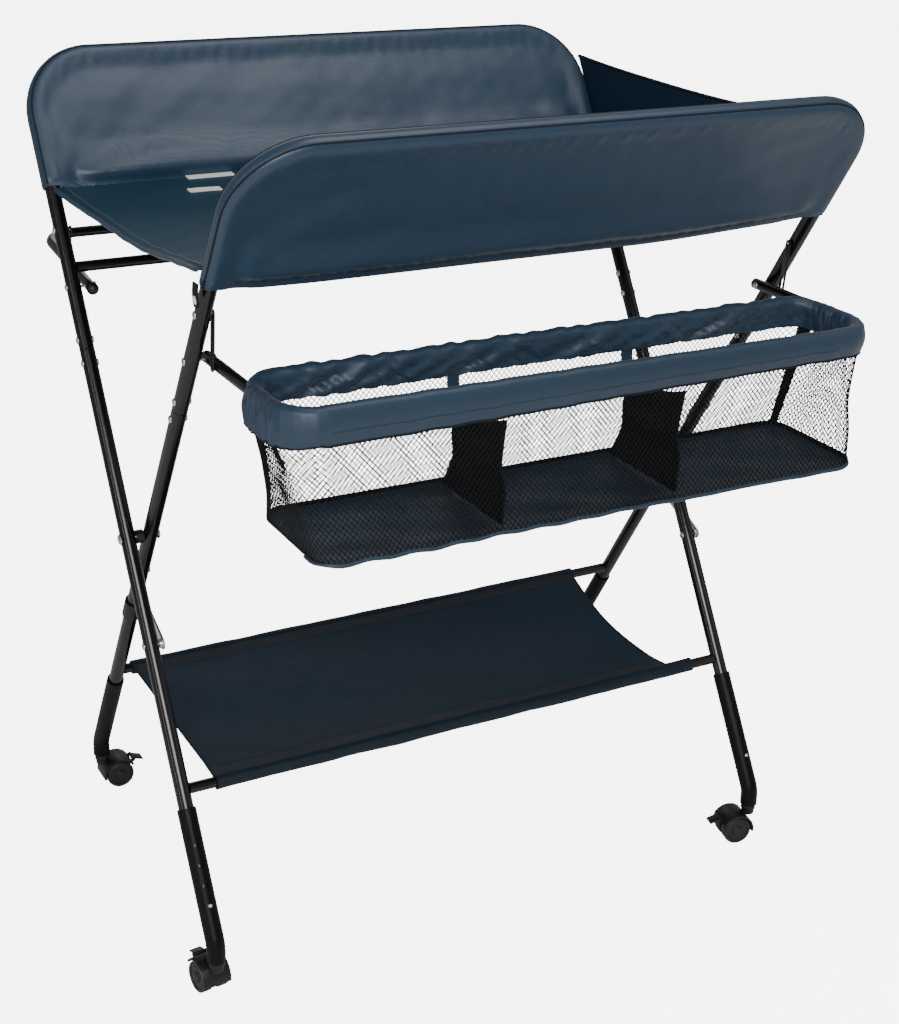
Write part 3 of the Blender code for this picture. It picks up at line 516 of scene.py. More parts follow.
# %% Sliding feet
SLEEVE = 0.01025
SLEEVE_TOP = -0.295
BEND_REACH = -0.4417
LOWEST_HOLE = -0.3992
HOLE_PITCH = 0.0215
STUB_BOTTOM = 0.0462
BUTTON_RADIUS = 0.0023
FOOT_WALL = 0.0016
FOOT_BEND = 0.030
HOLE_COUNT, HOLE_RADIUS = 4, 0.0028
HOLE_FROM, HOLE_TO = 0.004, 0.020


def lathe(name, profile, material, place, sides=32):
    """A round solid from (radius, height) points, stood along Z and moved by a matrix."""
    work = bmesh.new()
    rings = []
    turns = [math.tau * k / sides for k in range(sides)]
    for radius, height in profile:
        if radius == 0:
            rings.append([work.verts.new((0, 0, height))] * sides)
        else:
            rings.append([work.verts.new((radius * math.cos(turn), radius * math.sin(turn), height))
                          for turn in turns])
    for low, high in zip(rings, rings[1:]):
        for k in range(sides):
            corners = list(dict.fromkeys((low[k], low[(k + 1) % sides], high[(k + 1) % sides], high[k])))
            if len(corners) > 2:
                work.faces.new(corners)
    bmesh.ops.transform(work, matrix=place, verts=work.verts)
    bmesh.ops.recalc_face_normals(work, faces=work.faces)
    mesh = bpy.data.meshes.new(name)
    work.to_mesh(mesh)
    work.free()
    mesh.materials.append(material)
    return raw_object(name, mesh)


def facing(place, direction):
    """The matrix that stands a lathed piece at a place with its Z along a direction."""
    return Matrix.Translation(place) @ Vector(direction).to_track_quat("Z", "Y").to_matrix().to_4x4()


FEET = {f"{row}_{name}": (side, way) for row, side in (("front", FRAME_A), ("rear", FRAME_B)) for way, name in ENDS}
for foot, (side, way) in FEET.items():
    across = way * LEG_X
    bend = on_frame(side, across, BEND_REACH)
    path = [on_frame(side, across, SLEEVE_TOP), bend, Vector((bend.x, bend.y, STUB_BOTTOM))]
    sleeve = hollow(tube(f"foot_tube_{foot}", [path], SLEEVE, satin_black, FOOT_BEND, caps=False), FOOT_WALL)
    inward = on_frame(side, 0, 0, -1) - on_frame(side, 0, 0)
    holes = [on_frame(side, across, LOWEST_HOLE + k * HOLE_PITCH) for k in range(HOLE_COUNT)]
    cutters = joined("cutters", [
        tube("cutter", [[point + inward * HOLE_FROM, point + inward * HOLE_TO]], HOLE_RADIUS, gloss_black, sides=20)
        for point in holes])
    cut = sleeve.modifiers.new("holes", "BOOLEAN")
    cut.operation, cut.object, cut.solver = "DIFFERENCE", cutters, "EXACT"
    sleeve = settled(sleeve)
    bpy.data.objects.remove(cutters, do_unlink=True)
    placed(sleeve, f"foot_{foot}", "frame_paint", f"foot_sleeve_{foot}", sharp=35)
    dome = [(0, 0.0092), (BUTTON_RADIUS, 0.0092), (BUTTON_RADIUS, 0.0114),
            (0.0019, 0.0120), (0.0011, 0.0124), (0, 0.01255)]
    button = lathe(f"foot_button_{foot}", dome, zinc, facing(holes[0], inward), 20)
    placed(button, f"button_{foot}", "steel", f"height_button_{foot}")

# %% [markdown]
# ## Arms of the basket and the towel rail
#
# Both are a U of slim tube on a hinge line across the upper legs. The basket's arms lie level
# towards the front, and the rail's rise a little towards the rear. The same tube tree bends
# them; only the hinge, the way they point and the corner radius differ.

# %% Arms of the basket and the towel rail
ARM_X = 0.332
ARM_REACH = 0.282
ARM_TAIL = 0.008
BASKET_LENGTH = 0.190
ROD_OFFSET = 0.087
RAIL_LENGTH = 0.165
RAIL_RISE = math.radians(6.3)
BASKET_CORNER, RAIL_CORNER = 0.035, 0.030
ROD_RADIUS, ROD_END = 0.002, 0.0063
CAP_GAP = 0.0003
BASKET_HINGE = on_frame(FRAME_B, 0, ARM_REACH)
RAIL_HINGE = on_frame(FRAME_A, 0, ARM_REACH)


def on_basket(across, forward, up=0.0):
    """A point from the middle of the basket's hinge line: across, forward and up."""
    return BASKET_HINGE + Vector((across, -forward, up))


def on_rail(across, outward):
    """A point of the towel rail's plane."""
    return RAIL_HINGE + Vector((across, outward * math.cos(RAIL_RISE), outward * math.sin(RAIL_RISE)))


basket_path = [on_basket(-ARM_X, -ARM_TAIL), on_basket(-ARM_X, BASKET_LENGTH),
               on_basket(ARM_X, BASKET_LENGTH), on_basket(ARM_X, -ARM_TAIL)]
basket_tube = tube("basket_tube", [basket_path], SLIM, gloss_black, BASKET_CORNER, steps=10)
placed(basket_tube, "basket", "frame_paint", "basket_frame")
rod_path = [on_basket(-ARM_X + ROD_END, ROD_OFFSET), on_basket(ARM_X - ROD_END, ROD_OFFSET)]
placed(tube("basket_back_rod", [rod_path], ROD_RADIUS, zinc, sides=12), "basket", "steel", "basket_rod")
rail_path = [on_rail(-ARM_X, -ARM_TAIL), on_rail(-ARM_X, RAIL_LENGTH),
             on_rail(ARM_X, RAIL_LENGTH), on_rail(ARM_X, -ARM_TAIL)]
rail_tube = tube("towel_rail_tube", [rail_path], SLIM, gloss_black, RAIL_CORNER, steps=10)
placed(rail_tube, "towel_rail", "frame_paint", "rail_tube")
dome = [(0, 0), (0.0060, 0), (0.00675, 0.0008), (0.0066, 0.0042), (0.0054, 0.0066), (0.0032, 0.0082), (0, 0.0088)]
for end, name in ENDS:
    cap_seat = facing(on_rail(end * ARM_X, -ARM_TAIL - CAP_GAP), on_rail(0, -1) - on_rail(0, 0))
    placed(lathe(f"rail_end_{name}", dome, plastic, cap_seat, 24), "towel_rail", "black_plastic", f"rail_cap_{name}")

# %% [markdown]
# ## Pressed and moulded small parts
#
# Struts, stay links, caster hoods and brake levers already have the right outline as packed
# solids. A copy of each is merged, its flat faces are cleaned, and a narrow Bevel rounds its
# edges, which is what makes a small stamped or moulded part catch light along its rims.

# %% Pressed and moulded small parts
def softened(name, node, material, width):
    """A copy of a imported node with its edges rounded."""
    mesh = frame["nodes"][node].data.copy()
    mesh.materials.clear()
    mesh.materials.append(material)
    for polygon in mesh.polygons:
        polygon.material_index = 0
    work = bmesh.new()
    work.from_mesh(mesh)
    bmesh.ops.remove_doubles(work, verts=work.verts, dist=2e-5)
    bmesh.ops.dissolve_limit(work, angle_limit=math.radians(2), verts=work.verts, edges=work.edges)
    work.to_mesh(mesh)
    work.free()
    made = raw_object(name, mesh)
    bevel = made.modifiers.new("rims", "BEVEL")
    bevel.width = width
    bevel.segments = 2
    bevel.limit_method = "ANGLE"
    bevel.angle_limit = math.radians(40)
    return settled(made)


STAYS = (("stay_bar", "stay_link", zinc, 0.0004), ("basket_stay", "basket_strut", gloss_black, 0.0003),
         ("rail_stay", "rail_strut", gloss_black, 0.0003))
for _, end in ENDS:
    for piece, node, paint, rim in STAYS:
        placed(softened(f"{piece}_{end}", f"{node}_{end}", paint, rim), f"{node}_{end}", "steel", f"{node}_{end}")
MOULDED = (("caster_body", "caster_hood", "caster", 0.0005), ("brake_pedal", "brake_lever", "brake", 0.0004))
for foot in FEET:
    for piece, node, body, rim in MOULDED:
        placed(softened(f"{piece}_{foot}", f"{node}_{foot}", plastic, rim), f"{body}_{foot}", "black_plastic",
               f"{node}_{foot}", sharp=30)

# %% [markdown]
# ## Caster wheels and stems
#
# A wheel is a turned shape: a tread with rounded shoulders, a dished face and a hub cap. Both
# wheels of a caster share one axle, so one outline, mirrored, is turned about the axle that the
# roll joint gives. The stem is a plain turned pin with a collar.

# %% Caster wheels and stems
half_wheel = [(0.0025, 0.0033), (0.0138, 0.0033), (0.0160, 0.0036), (0.0171, 0.0044), (0.0175, 0.0058),
              (0.0175, 0.0138), (0.0171, 0.0152), (0.0160, 0.0160), (0.0142, 0.0163), (0.0134, 0.0160),
              (0.0128, 0.0148), (0.0066, 0.0145), (0.0060, 0.0152), (0.0056, 0.0160), (0.0046, 0.0163), (0, 0.0163)]
pair_of_wheels = [(radius, -x) for radius, x in reversed(half_wheel)] + half_wheel
for foot in FEET:
    roll, swivel = joints[f"roll_{foot}"], joints[f"swivel_{foot}"]
    wheels = lathe(f"twin_wheels_{foot}", pair_of_wheels, tyre, facing(roll["pos_m"], roll["axis"]), 48)
    placed(wheels, f"wheels_{foot}", "caster_tyre", f"caster_wheels_{foot}", sharp=30)
    column = Vector((swivel["pos_m"][0], swivel["pos_m"][1], 0))
    stem = [(0, 0.0388), (0.0070, 0.0388), (0.0086, 0.0396), (0.0088, 0.0404), (0.0088, 0.0450),
            (0.0084, 0.0457), (0.0045, 0.0457), (0.0045, 0.0630), (0, 0.0637)]
    placed(lathe(f"swivel_stem_{foot}", stem, plastic, Matrix.Translation(column)), f"caster_{foot}", "steel",
           f"caster_stem_{foot}")

# %% [markdown]
# ## Pivot bolts, spacers and the lock collar
#
# The two pivot bolts pass through both legs at each end, with a black washer in the gap. The
# collar is a short plastic tube round the left leg of frame B.

# %% Pivot bolts, spacers and the lock collar
HEAD = HALF_PITCH + TUBE + JOINT_GAP
WASHER_RADIUS, WASHER_WALL = 0.0075, 0.0039
COLLAR_FROM, COLLAR_TO = -0.1535, -0.1265
COLLAR_RADIUS, COLLAR_WALL = 0.01055, 0.002
bolt = [(0, -HEAD - 0.0026), (0.0022, -HEAD - 0.0025), (0.0046, -HEAD - 0.0017),
        (0.0060, -HEAD - 0.0006), (0.0060, -HEAD)]
bolt += [(0.0030, -HEAD), (0.0030, HEAD)] + [(radius, -x) for radius, x in reversed(bolt)]
half = Vector((HALF_PITCH - TUBE - JOINT_GAP, 0, 0))
for end, name in ENDS:
    middle = PIVOT + Vector((end * LEG_X, 0, 0))
    pin = lathe(f"pivot_pin_{name}", bolt, zinc, facing(middle, (1, 0, 0)))
    placed(pin, "frame_a", "steel", f"pivot_bolt_{name}")
    washer = tube(f"pivot_washer_{name}", [[middle - half, middle + half]], WASHER_RADIUS, plastic, caps=False)
    placed(hollow(washer, WASHER_WALL), "frame_a", "black_plastic", f"pivot_spacer_{name}")
collar_line = [on_frame(FRAME_B, -LEG_X, reach) for reach in (COLLAR_FROM, COLLAR_TO)]
collar = tube("leg_collar", [collar_line], COLLAR_RADIUS, plastic, caps=False)
placed(hollow(collar, COLLAR_WALL), "frame_b", "black_plastic", "lock_collar")

# %% [markdown]
# ## Rivets
#
# The same bright rivet head shows on every joint. One tree puts a flattened ball on each point
# of a cloud, realises the copies and paints them, so a body's rivets become one mesh. Pins that
# bridge the gap between a leg and an arm are short rods in the same piece.

# %% Rivets
rivet_tree, entry, leave = new_tree("rivet heads", [
    ("Radius", "Float"), ("Flatness", "Float"), ("Material", "Material")])
nodes, links = rivet_tree.nodes, rivet_tree.links
ball = nodes.new("GeometryNodeMeshUVSphere")
ball.inputs["Segments"].default_value, ball.inputs["Rings"].default_value = 20, 12
links.new(entry.outputs["Radius"], ball.inputs["Radius"])
flat = nodes.new("ShaderNodeCombineXYZ")
flat.inputs["Y"].default_value = flat.inputs["Z"].default_value = 1
links.new(entry.outputs["Flatness"], flat.inputs["X"])
press = nodes.new("GeometryNodeTransform")
links.new(ball.outputs["Mesh"], press.inputs["Geometry"])
links.new(flat.outputs["Vector"], press.inputs["Scale"])
scatter = nodes.new("GeometryNodeInstanceOnPoints")
links.new(entry.outputs["Geometry"], scatter.inputs["Points"])
links.new(press.outputs["Geometry"], scatter.inputs["Instance"])
realize = nodes.new("GeometryNodeRealizeInstances")
paint = nodes.new("GeometryNodeSetMaterial")
links.new(scatter.outputs["Instances"], realize.inputs["Geometry"])
links.new(realize.outputs["Geometry"], paint.inputs["Geometry"])
links.new(entry.outputs["Material"], paint.inputs["Material"])
links.new(paint.outputs["Geometry"], leave.inputs["Geometry"])

STRUT_REACH, STRUT_PIN = 0.347, 0.0066
NECK_RIVETS = (HOOP_JOINT - 0.014, HOOP_JOINT + 0.012)
LINK_REACH = {FRAME_A: -0.118, FRAME_B: -0.0665}
LINK_PIN = HALF_PITCH - 0.0002
RIVET_RADIUS, RIVET_FLATNESS, PIN_RADIUS = 0.0041, 0.42, 0.0015
for side, body in ((FRAME_A, "frame_a"), (FRAME_B, "frame_b")):
    heads, pins = [], []
    for end, _ in ENDS:
        for reach in (ARM_REACH, STRUT_REACH):
            heads.append(on_frame(side, end * (LEG_X + TUBE), reach))
        for reach in NECK_RIVETS:
            heads += [on_frame(side, end * across, reach) for across in (LEG_X + TUBE, LEG_X - TUBE)]
        heads.append(on_frame(side, end * (ARM_X - SLIM), ARM_REACH))
        heads.append(on_frame(side, end * LEG_X + side * TUBE, LINK_REACH[side]))
        for across, reach in ((end * ARM_X, ARM_REACH), (end * (ARM_X + STRUT_PIN), STRUT_REACH),
                              (end * LEG_X - side * LINK_PIN, LINK_REACH[side])):
            pins.append([on_frame(side, end * LEG_X, reach), on_frame(side, across, reach)])
    domes = run_tree(rivet_tree, "domes", polyline([heads]), Radius=RIVET_RADIUS, Flatness=RIVET_FLATNESS,
                     Material=zinc)
    rods = tube("rods", pins, PIN_RADIUS, zinc, sides=16)
    placed(joined(f"rivets_{body}", [domes, rods]), body, "steel")

# %% [markdown]
# ## Padded guards
#
# Each hoop wears a padded cover. It is thin where it rolls over the tube, eases down to a soft
# panel inside the hoop and ends in a stitched lip along the bottom. Its outline is a rounded
# rectangle, so a plain grid is bent into it: a square corner of the grid is mapped onto a
# quarter circle, and the depth from the outline then gives the thickness at each point. Just
# above the hem the pad swells a little, where the cloth is pushed out by the seam.
#
# A cloth simulation would also swell it, but it would lose the exact roll round the tube. The
# same form comes from a thickness rule plus seeded folds, and is the same on each run.

# %% The guard's outline and thickness
COVER = 0.0102
GUARD_HALF = LEG_X + COVER
GUARD_TOP = HOOP_REACH + COVER
GUARD_CORNER = HOOP_CORNER + COVER
GUARD_BOTTOM = 0.386
PAD = 0.0068
SEAM_UP = 0.0075
LIP, LIP_SWELL = 0.0013, 0.0006
ROLL_EASE = 0.024
HEM_SWELL = 0.0052
UPPER_PANEL = 0.06


def bent_corner(across, reach):
    """A grid point moved into the rounded outline, and its depth from that outline."""
    from_side, from_top = GUARD_HALF - abs(across), GUARD_TOP - reach
    if min(from_side, from_top) >= GUARD_CORNER or max(from_side, from_top) >= GUARD_CORNER:
        return across, reach, max(0.0, min(from_side, from_top))
    a, b = GUARD_CORNER - from_side, GUARD_CORNER - from_top
    radius = max(a, b)
    turn = math.pi / 4 * (b / a if a >= b else 2 - a / b) if radius > 0 else 0
    x = GUARD_HALF - GUARD_CORNER + radius * math.cos(turn)
    return math.copysign(x, across), GUARD_TOP - GUARD_CORNER + radius * math.sin(turn), GUARD_CORNER - radius


def guard_half_thickness(depth, from_side, above_hem):
    """Half the cover's thickness: a roll over the tube, a soft pad, and a flat lip at the hem."""
    if depth < COVER:
        body = math.sqrt(max(0.0, COVER ** 2 - (COVER - depth) ** 2))
    else:
        body = COVER + (PAD - COVER) * smooth(depth, COVER, COVER + ROLL_EASE)
    pad_swell = HEM_SWELL * smooth(above_hem, 0.006, 0.024) * smooth(0.066 - above_hem, 0, 0.044)
    body += pad_swell * smooth(depth, 0.02, 0.05)
    inside = smooth(from_side, 1.7 * COVER, 5.5 * COVER)
    lip = LIP + (body - LIP) * smooth(above_hem, SEAM_UP, SEAM_UP + 0.016)
    if above_hem < SEAM_UP:
        lip = LIP + LIP_SWELL * math.sin(math.pi * above_hem / SEAM_UP)
    wrapped = max(TUBE + 0.0008, body * smooth(above_hem + 0.012, 0, 0.02))
    return body if above_hem > UPPER_PANEL else inside * lip + (1 - inside) * min(body, wrapped)


print("corner of the outline", bent_corner(GUARD_HALF, GUARD_TOP))

# %% [markdown]
# ## Soft folds
#
# Real covers have slow undulations, small puckers where cloth is gathered at a seam, and a few
# creases that run out from a strained corner. Each is a simple function of the place on the
# guard, added along the guard's outward direction. The random numbers come from one seeded
# generator for each guard, so the folds stay where they are.

# %% Soft folds
def slow_waves(seed, count, longest, shortest):
    """A smooth, seeded field of gentle waves over a flat sheet, between about -1 and 1."""
    draw = random.Random(seed)
    terms = []
    for _ in range(count):
        length = draw.uniform(shortest, longest)
        heading = draw.uniform(0, math.pi)
        pace = math.tau / length
        terms.append((pace * math.cos(heading), pace * math.sin(heading), draw.uniform(0, math.tau)))
    return lambda x, y: sum(math.sin(a * x + b * y + c) for a, b, c in terms) / math.sqrt(count)


def crease(x, y, start, heading, length, width):
    """A ridge from a point along a heading, fading out at its far end; 1 at its crest."""
    heading = math.radians(heading)
    dx, dy = x - start[0], y - start[1]
    along = dx * math.cos(heading) + dy * math.sin(heading)
    beside = dy * math.cos(heading) - dx * math.sin(heading)
    spread = width * (1 + 1.5 * max(0.0, along) / length)
    return math.exp(-(beside / spread) ** 2) * smooth(along, -0.01, 0.02) * smooth(length - along, 0, length * 0.7)


WAVE, SMALL_WAVE = 0.0012, 0.00035
ROLL_PUCKER, HEM_PUCKER, PUCKER_STRETCH = 0.00045, 0.00040, 0.2


def guard_folds(seed, strained, liveliness):
    """The relief of one guard: slow waves, puckers along its upper seam and strained creases."""
    waves = slow_waves(seed, 7, 0.26, 0.09)
    small = slow_waves(seed + 1, 7, 0.060, 0.022)
    pucker = slow_waves(seed + 2, 4, 0.016, 0.009)

    def relief(x, y, depth, above_hem):
        inner = smooth(depth, 0.012, 0.045)
        at_roll = smooth(depth, 0.010, 0.016) * smooth(0.040 - depth, 0, 0.022)
        at_hem = smooth(above_hem, 0.004, 0.009) * smooth(0.030 - above_hem, 0, 0.020)
        value = liveliness * (WAVE * waves(x, y) + SMALL_WAVE * small(x, y)) * inner
        value += ROLL_PUCKER * pucker(x, y * PUCKER_STRETCH) * at_roll
        value += HEM_PUCKER * pucker(x + 0.3, y * PUCKER_STRETCH) * at_hem
        for start, heading, length, width, height in strained:  # heading in degrees
            value += height * crease(x, y, start, heading, length, width) * inner
        return value
    return relief

# %% [markdown]
# ## The guard's shell
#
# The front and back faces are two copies of the grid, closed along the outline, where both have
# no thickness, and along the hem by one row of faces. Grid lines are close together round the
# edges, where the roll over the tube turns fast, and about 4 mm apart elsewhere.

# %% The guard's shell
HEM_DROP = {FRAME_A: 0.004, FRAME_B: 0.011}
LEFT_LIFT, RIGHT_LIFT, TUBE_LIFT = 0.003, 0.011, 0.010
HANG = 0.0030


def hem_reach(side, across):
    """How far up the bottom edge is: lowest in the middle, raised at both ends, more at the right."""
    lift = smooth(across, 0.12, 0.36) * RIGHT_LIFT + smooth(-across, 0.22, 0.36) * LEFT_LIFT
    lift += TUBE_LIFT * smooth(abs(across), 0.300, 0.348)
    return GUARD_BOTTOM - HEM_DROP[side] + lift


def guard_point(side, relief, across, reach, face):
    """A point of one face of a guard; face is 1 outwards and -1 inwards."""
    low = hem_reach(side, across)
    share = (reach - GUARD_BOTTOM) / (GUARD_TOP - GUARD_BOTTOM)
    moved = reach + (low - GUARD_BOTTOM) * (1 - smooth(share, 0, 0.45))
    x, up, depth = bent_corner(across, moved)
    from_side, above = GUARD_HALF - abs(x), moved - low
    half = guard_half_thickness(depth, from_side, above)
    hang = -HANG * smooth(depth, 0.02, 0.07) * smooth(above, 0.0, 0.05)
    out = hang + face * half + relief(x, up, depth, above) * smooth(above, 0.001, 0.01)
    return on_frame(side, x, up, out)


EDGE_COUNT, COLUMN_COUNT, ROW_COUNT = 6, 168, 38
edge_steps = [COVER * (1 - math.cos(math.pi / 2 * k / EDGE_COUNT)) for k in range(EDGE_COUNT + 1)]
inner_half = GUARD_HALF - COVER
COLUMNS = [-GUARD_HALF + step for step in edge_steps]
COLUMNS += [-inner_half + 2 * inner_half * k / COLUMN_COUNT for k in range(1, COLUMN_COUNT)]
COLUMNS += [GUARD_HALF - step for step in reversed(edge_steps)]
hem_rows = [0, 0.0012, 0.0028, 0.0045, 0.0060, 0.0070, 0.0076, 0.0084, 0.0100, 0.0125, 0.0155]
inner_top = GUARD_TOP - COVER
ROWS = [GUARD_BOTTOM + step for step in hem_rows]
ROWS += [ROWS[-1] + (inner_top - ROWS[-1]) * k / ROW_COUNT for k in range(1, ROW_COUNT)]
ROWS += [GUARD_TOP - step for step in reversed(edge_steps)]


def guard_shell(name, side, relief, material):
    """A closed padded cover: two faces that meet at the outline and along the hem."""
    work = bmesh.new()
    hems = []
    for face in (1, -1):
        grid = [[work.verts.new(guard_point(side, relief, across, reach, face)) for across in COLUMNS]
                for reach in ROWS]
        for low, high in zip(grid, grid[1:]):
            for k in range(len(COLUMNS) - 1):
                work.faces.new((low[k], low[k + 1], high[k + 1], high[k]))
        hems.append(grid[0])
    outer, inner = hems
    for k in range(len(COLUMNS) - 1):
        work.faces.new((outer[k], outer[k + 1], inner[k + 1], inner[k]))
    bmesh.ops.remove_doubles(work, verts=work.verts, dist=2e-5)
    bmesh.ops.dissolve_degenerate(work, dist=1e-6, edges=work.edges)
    bmesh.ops.recalc_face_normals(work, faces=work.faces)
    mesh = bpy.data.meshes.new(name)
    work.to_mesh(mesh)
    open_edges = sum(1 for edge in work.edges if len(edge.link_faces) != 2)
    work.free()
    mesh.materials.append(material)
    print(name, "open edges", open_edges)
    return raw_object(name, mesh)


REAR_CREASES = [((-0.335, 0.400), 38, 0.26, 0.012, 0.0030), ((-0.335, 0.400), 22, 0.34, 0.014, 0.0026),
                ((-0.330, 0.405), 60, 0.15, 0.010, 0.0022), ((0.32, 0.40), 140, 0.18, 0.012, 0.0022),
                ((0.10, 0.395), 70, 0.10, 0.014, 0.0012)]
FRONT_CREASES = [((0.33, 0.41), 150, 0.22, 0.012, 0.0018), ((-0.33, 0.42), 25, 0.20, 0.014, 0.0014),
                 ((0.30, 0.52), 200, 0.16, 0.010, 0.0010)]
RELIEF = {FRAME_A: guard_folds(11, REAR_CREASES, 0.45), FRAME_B: guard_folds(29, FRONT_CREASES, 0.6)}
GUARDS = ((FRAME_A, "frame_a", "rear"), (FRAME_B, "frame_b", "front"))
for side, body, row in GUARDS:
    shell = guard_shell(f"{row}_guard_pad", side, RELIEF[side], satin)
    placed(shell, body, "navy_fabric", f"{row}_guard", sharp=60)

# %% [markdown]
# ## Piping and stitches
#
# A dark piping runs close to each guard's outline, a bound cord follows its hem, and a row of
# stitches holds the lip above it. The piping is a cord on the surface of the roll. A tree of its
# own lays short thread segments along a path at an even pitch, turned along it, which is all a
# seam is.

# %% Piping and stitches
stitch_tree, entry, leave = new_tree("stitches", [
    ("Pitch", "Float"), ("Length", "Float"), ("Thread", "Float"), ("Material", "Material")])
nodes, links = stitch_tree.nodes, stitch_tree.links
to_curve = nodes.new("GeometryNodeMeshToCurve")
spaced = nodes.new("GeometryNodeCurveToPoints")
spaced.mode = "LENGTH"
thread = nodes.new("GeometryNodeMeshIcoSphere")
thread.inputs["Radius"].default_value = 1
thread.inputs["Subdivisions"].default_value = 1
size = nodes.new("ShaderNodeCombineXYZ")
shape = nodes.new("GeometryNodeTransform")
turn = nodes.new("FunctionNodeAlignRotationToVector")
turn.axis = "Z"
sew = nodes.new("GeometryNodeInstanceOnPoints")
realize = nodes.new("GeometryNodeRealizeInstances")
paint = nodes.new("GeometryNodeSetMaterial")
links.new(entry.outputs["Geometry"], to_curve.inputs["Mesh"])
links.new(to_curve.outputs["Curve"], spaced.inputs["Curve"])
links.new(entry.outputs["Pitch"], spaced.inputs["Length"])
for axis, label in (("X", "Thread"), ("Y", "Thread"), ("Z", "Length")):
    links.new(entry.outputs[label], size.inputs[axis])
links.new(thread.outputs["Mesh"], shape.inputs["Geometry"])
links.new(size.outputs["Vector"], shape.inputs["Scale"])
links.new(spaced.outputs["Tangent"], turn.inputs["Vector"])
links.new(spaced.outputs["Points"], sew.inputs["Points"])
links.new(shape.outputs["Geometry"], sew.inputs["Instance"])
links.new(turn.outputs["Rotation"], sew.inputs["Rotation"])
links.new(sew.outputs["Instances"], realize.inputs["Geometry"])
links.new(realize.outputs["Geometry"], paint.inputs["Geometry"])
links.new(entry.outputs["Material"], paint.inputs["Material"])
links.new(paint.outputs["Geometry"], leave.inputs["Geometry"])


def stitches(name, paths, material=binding, pitch=0.0042):
    """Rows of thread along paths."""
    return run_tree(stitch_tree, name, polyline(paths), Pitch=pitch, Length=0.0014, Thread=0.00032,
                    Material=material)


def shares(count):
    """Even steps from 0 to 1."""
    return [k / count for k in range(count + 1)]


PIPE_RADIUS, HEM_RADIUS, PIPE_END = 0.0010, 0.0015, 0.002
PIPE_DEPTH = {1: 0.0016, -1: 0.0040}
SEAM_HALF, HEM_HALF = 0.325, 0.336


for side, body, row in GUARDS:
    relief = RELIEF[side]
    cords, seams = [], []
    for face, depth in PIPE_DEPTH.items():
        edge, top = GUARD_HALF - depth, GUARD_TOP - depth
        out = face * math.sqrt(COVER ** 2 - (COVER - depth) ** 2)
        outline = [on_frame(side, across, reach, out) for across, reach in (
            (-edge, hem_reach(side, -edge) + PIPE_END), (-edge, top),
            (edge, top), (edge, hem_reach(side, edge) + PIPE_END))]
        cords.append(tube("cord", [outline], PIPE_RADIUS, binding, GUARD_CORNER - depth, sides=8, steps=14))
        seams.append([guard_point(side, relief, SEAM_HALF * (2 * share - 1), GUARD_BOTTOM + SEAM_UP, face)
                      for share in shares(60)])
    hem_steps = [HEM_HALF * (2 * share - 1) for share in shares(48)]
    hem = [on_frame(side, across, hem_reach(side, across)) for across in hem_steps]
    cords.append(tube("cord", [hem], HEM_RADIUS, binding, sides=8, steps=1))
    threads = stitches("threads", seams)
    placed(joined(f"{row}_guard_piping", [*cords, threads]), body, "navy_fabric")

# %% [markdown]
# ## Cloth sheets
#
# The top, the end panel and the shelf are single sheets stretched between two edges. A sheet is
# a grid of points from one rule of two shares, across and along, given its thickness by
# Solidify. Writing the rule as a function keeps the sag, the curved free edges and the folds in
# one place, and hems, tapes and stitches can ask the same rule where the surface is.

# %% Cloth sheets
def grid_mesh(name, place, columns, rows, material, closed=False):
    """A grid of faces over a rule that takes two shares from 0 to 1."""
    count = columns if closed else columns + 1
    vertices = [tuple(place(i / columns, j / rows)) for j in range(rows + 1) for i in range(count)]
    faces = []
    for j in range(rows):
        for i in range(columns):
            n = (i + 1) % count
            faces.append((j * count + i, j * count + n, (j + 1) * count + n, (j + 1) * count + i))
    mesh = bpy.data.meshes.new(name)
    mesh.from_pydata(vertices, [], faces)
    mesh.materials.append(material)
    return mesh


def cloth(name, place, columns, rows, material, thickness, closed=False):
    """A sheet of cloth over a rule, with its thickness half on each side."""
    sheet = raw_object(name, grid_mesh(name, place, columns, rows, material, closed))
    solid = sheet.modifiers.new("cloth", "SOLIDIFY")
    solid.thickness = thickness
    solid.offset = 0
    sheet = settled(sheet)
    work = bmesh.new()
    work.from_mesh(sheet.data)
    bmesh.ops.recalc_face_normals(work, faces=work.faces)
    work.to_mesh(sheet.data)
    work.free()
    return sheet


def between(a, b, share):
    """A value part of the way from one to another."""
    return a + (b - a) * share


print("a quarter of the way along a guard (m)", between(-GUARD_HALF, GUARD_HALF, 0.25))

# %% [markdown]
# ## The changing top
#
# The top hangs between the lower edges of the two guards, dips a little in the middle, and is
# left open at the left end, where its free edge is pulled slightly inwards and hemmed with a
# double cord. It crosses the fold joint, and it rides on neither frame: its points stay where
# they are made.

# %% The changing top
TOP_FRONT, TOP_BACK = -0.2005, 0.1985
TOP_FRONT_HEIGHT, TOP_BACK_HEIGHT = 0.7835, 0.7790
TOP_SAG, FREE_SAG = 0.0105, 0.003
TAPE_WIDTH, TAPE_THICKNESS, TAPE_ABOVE = 0.011, 0.0012, 0.0019
top_waves = slow_waves(41, 7, 0.30, 0.10)
top_small = slow_waves(42, 6, 0.07, 0.03)


def top_height(x, y):
    """Height of the top's cloth at a place measured from the pivot."""
    share = (y - TOP_FRONT) / (TOP_BACK - TOP_FRONT)
    edge = between(TOP_FRONT_HEIGHT, TOP_BACK_HEIGHT, share) + 0.004 * smooth(-x, 0.28, 0.36) * (1 - share)
    held = smooth(share, 0, 0.12) * smooth(1 - share, 0, 0.12)
    free = smooth(-x, 0.33, 0.36)
    return (edge - 4 * (TOP_SAG + FREE_SAG * free) * share * (1 - share)
            + held * (0.0011 * top_waves(x, y) + 0.00035 * top_small(x, y)))


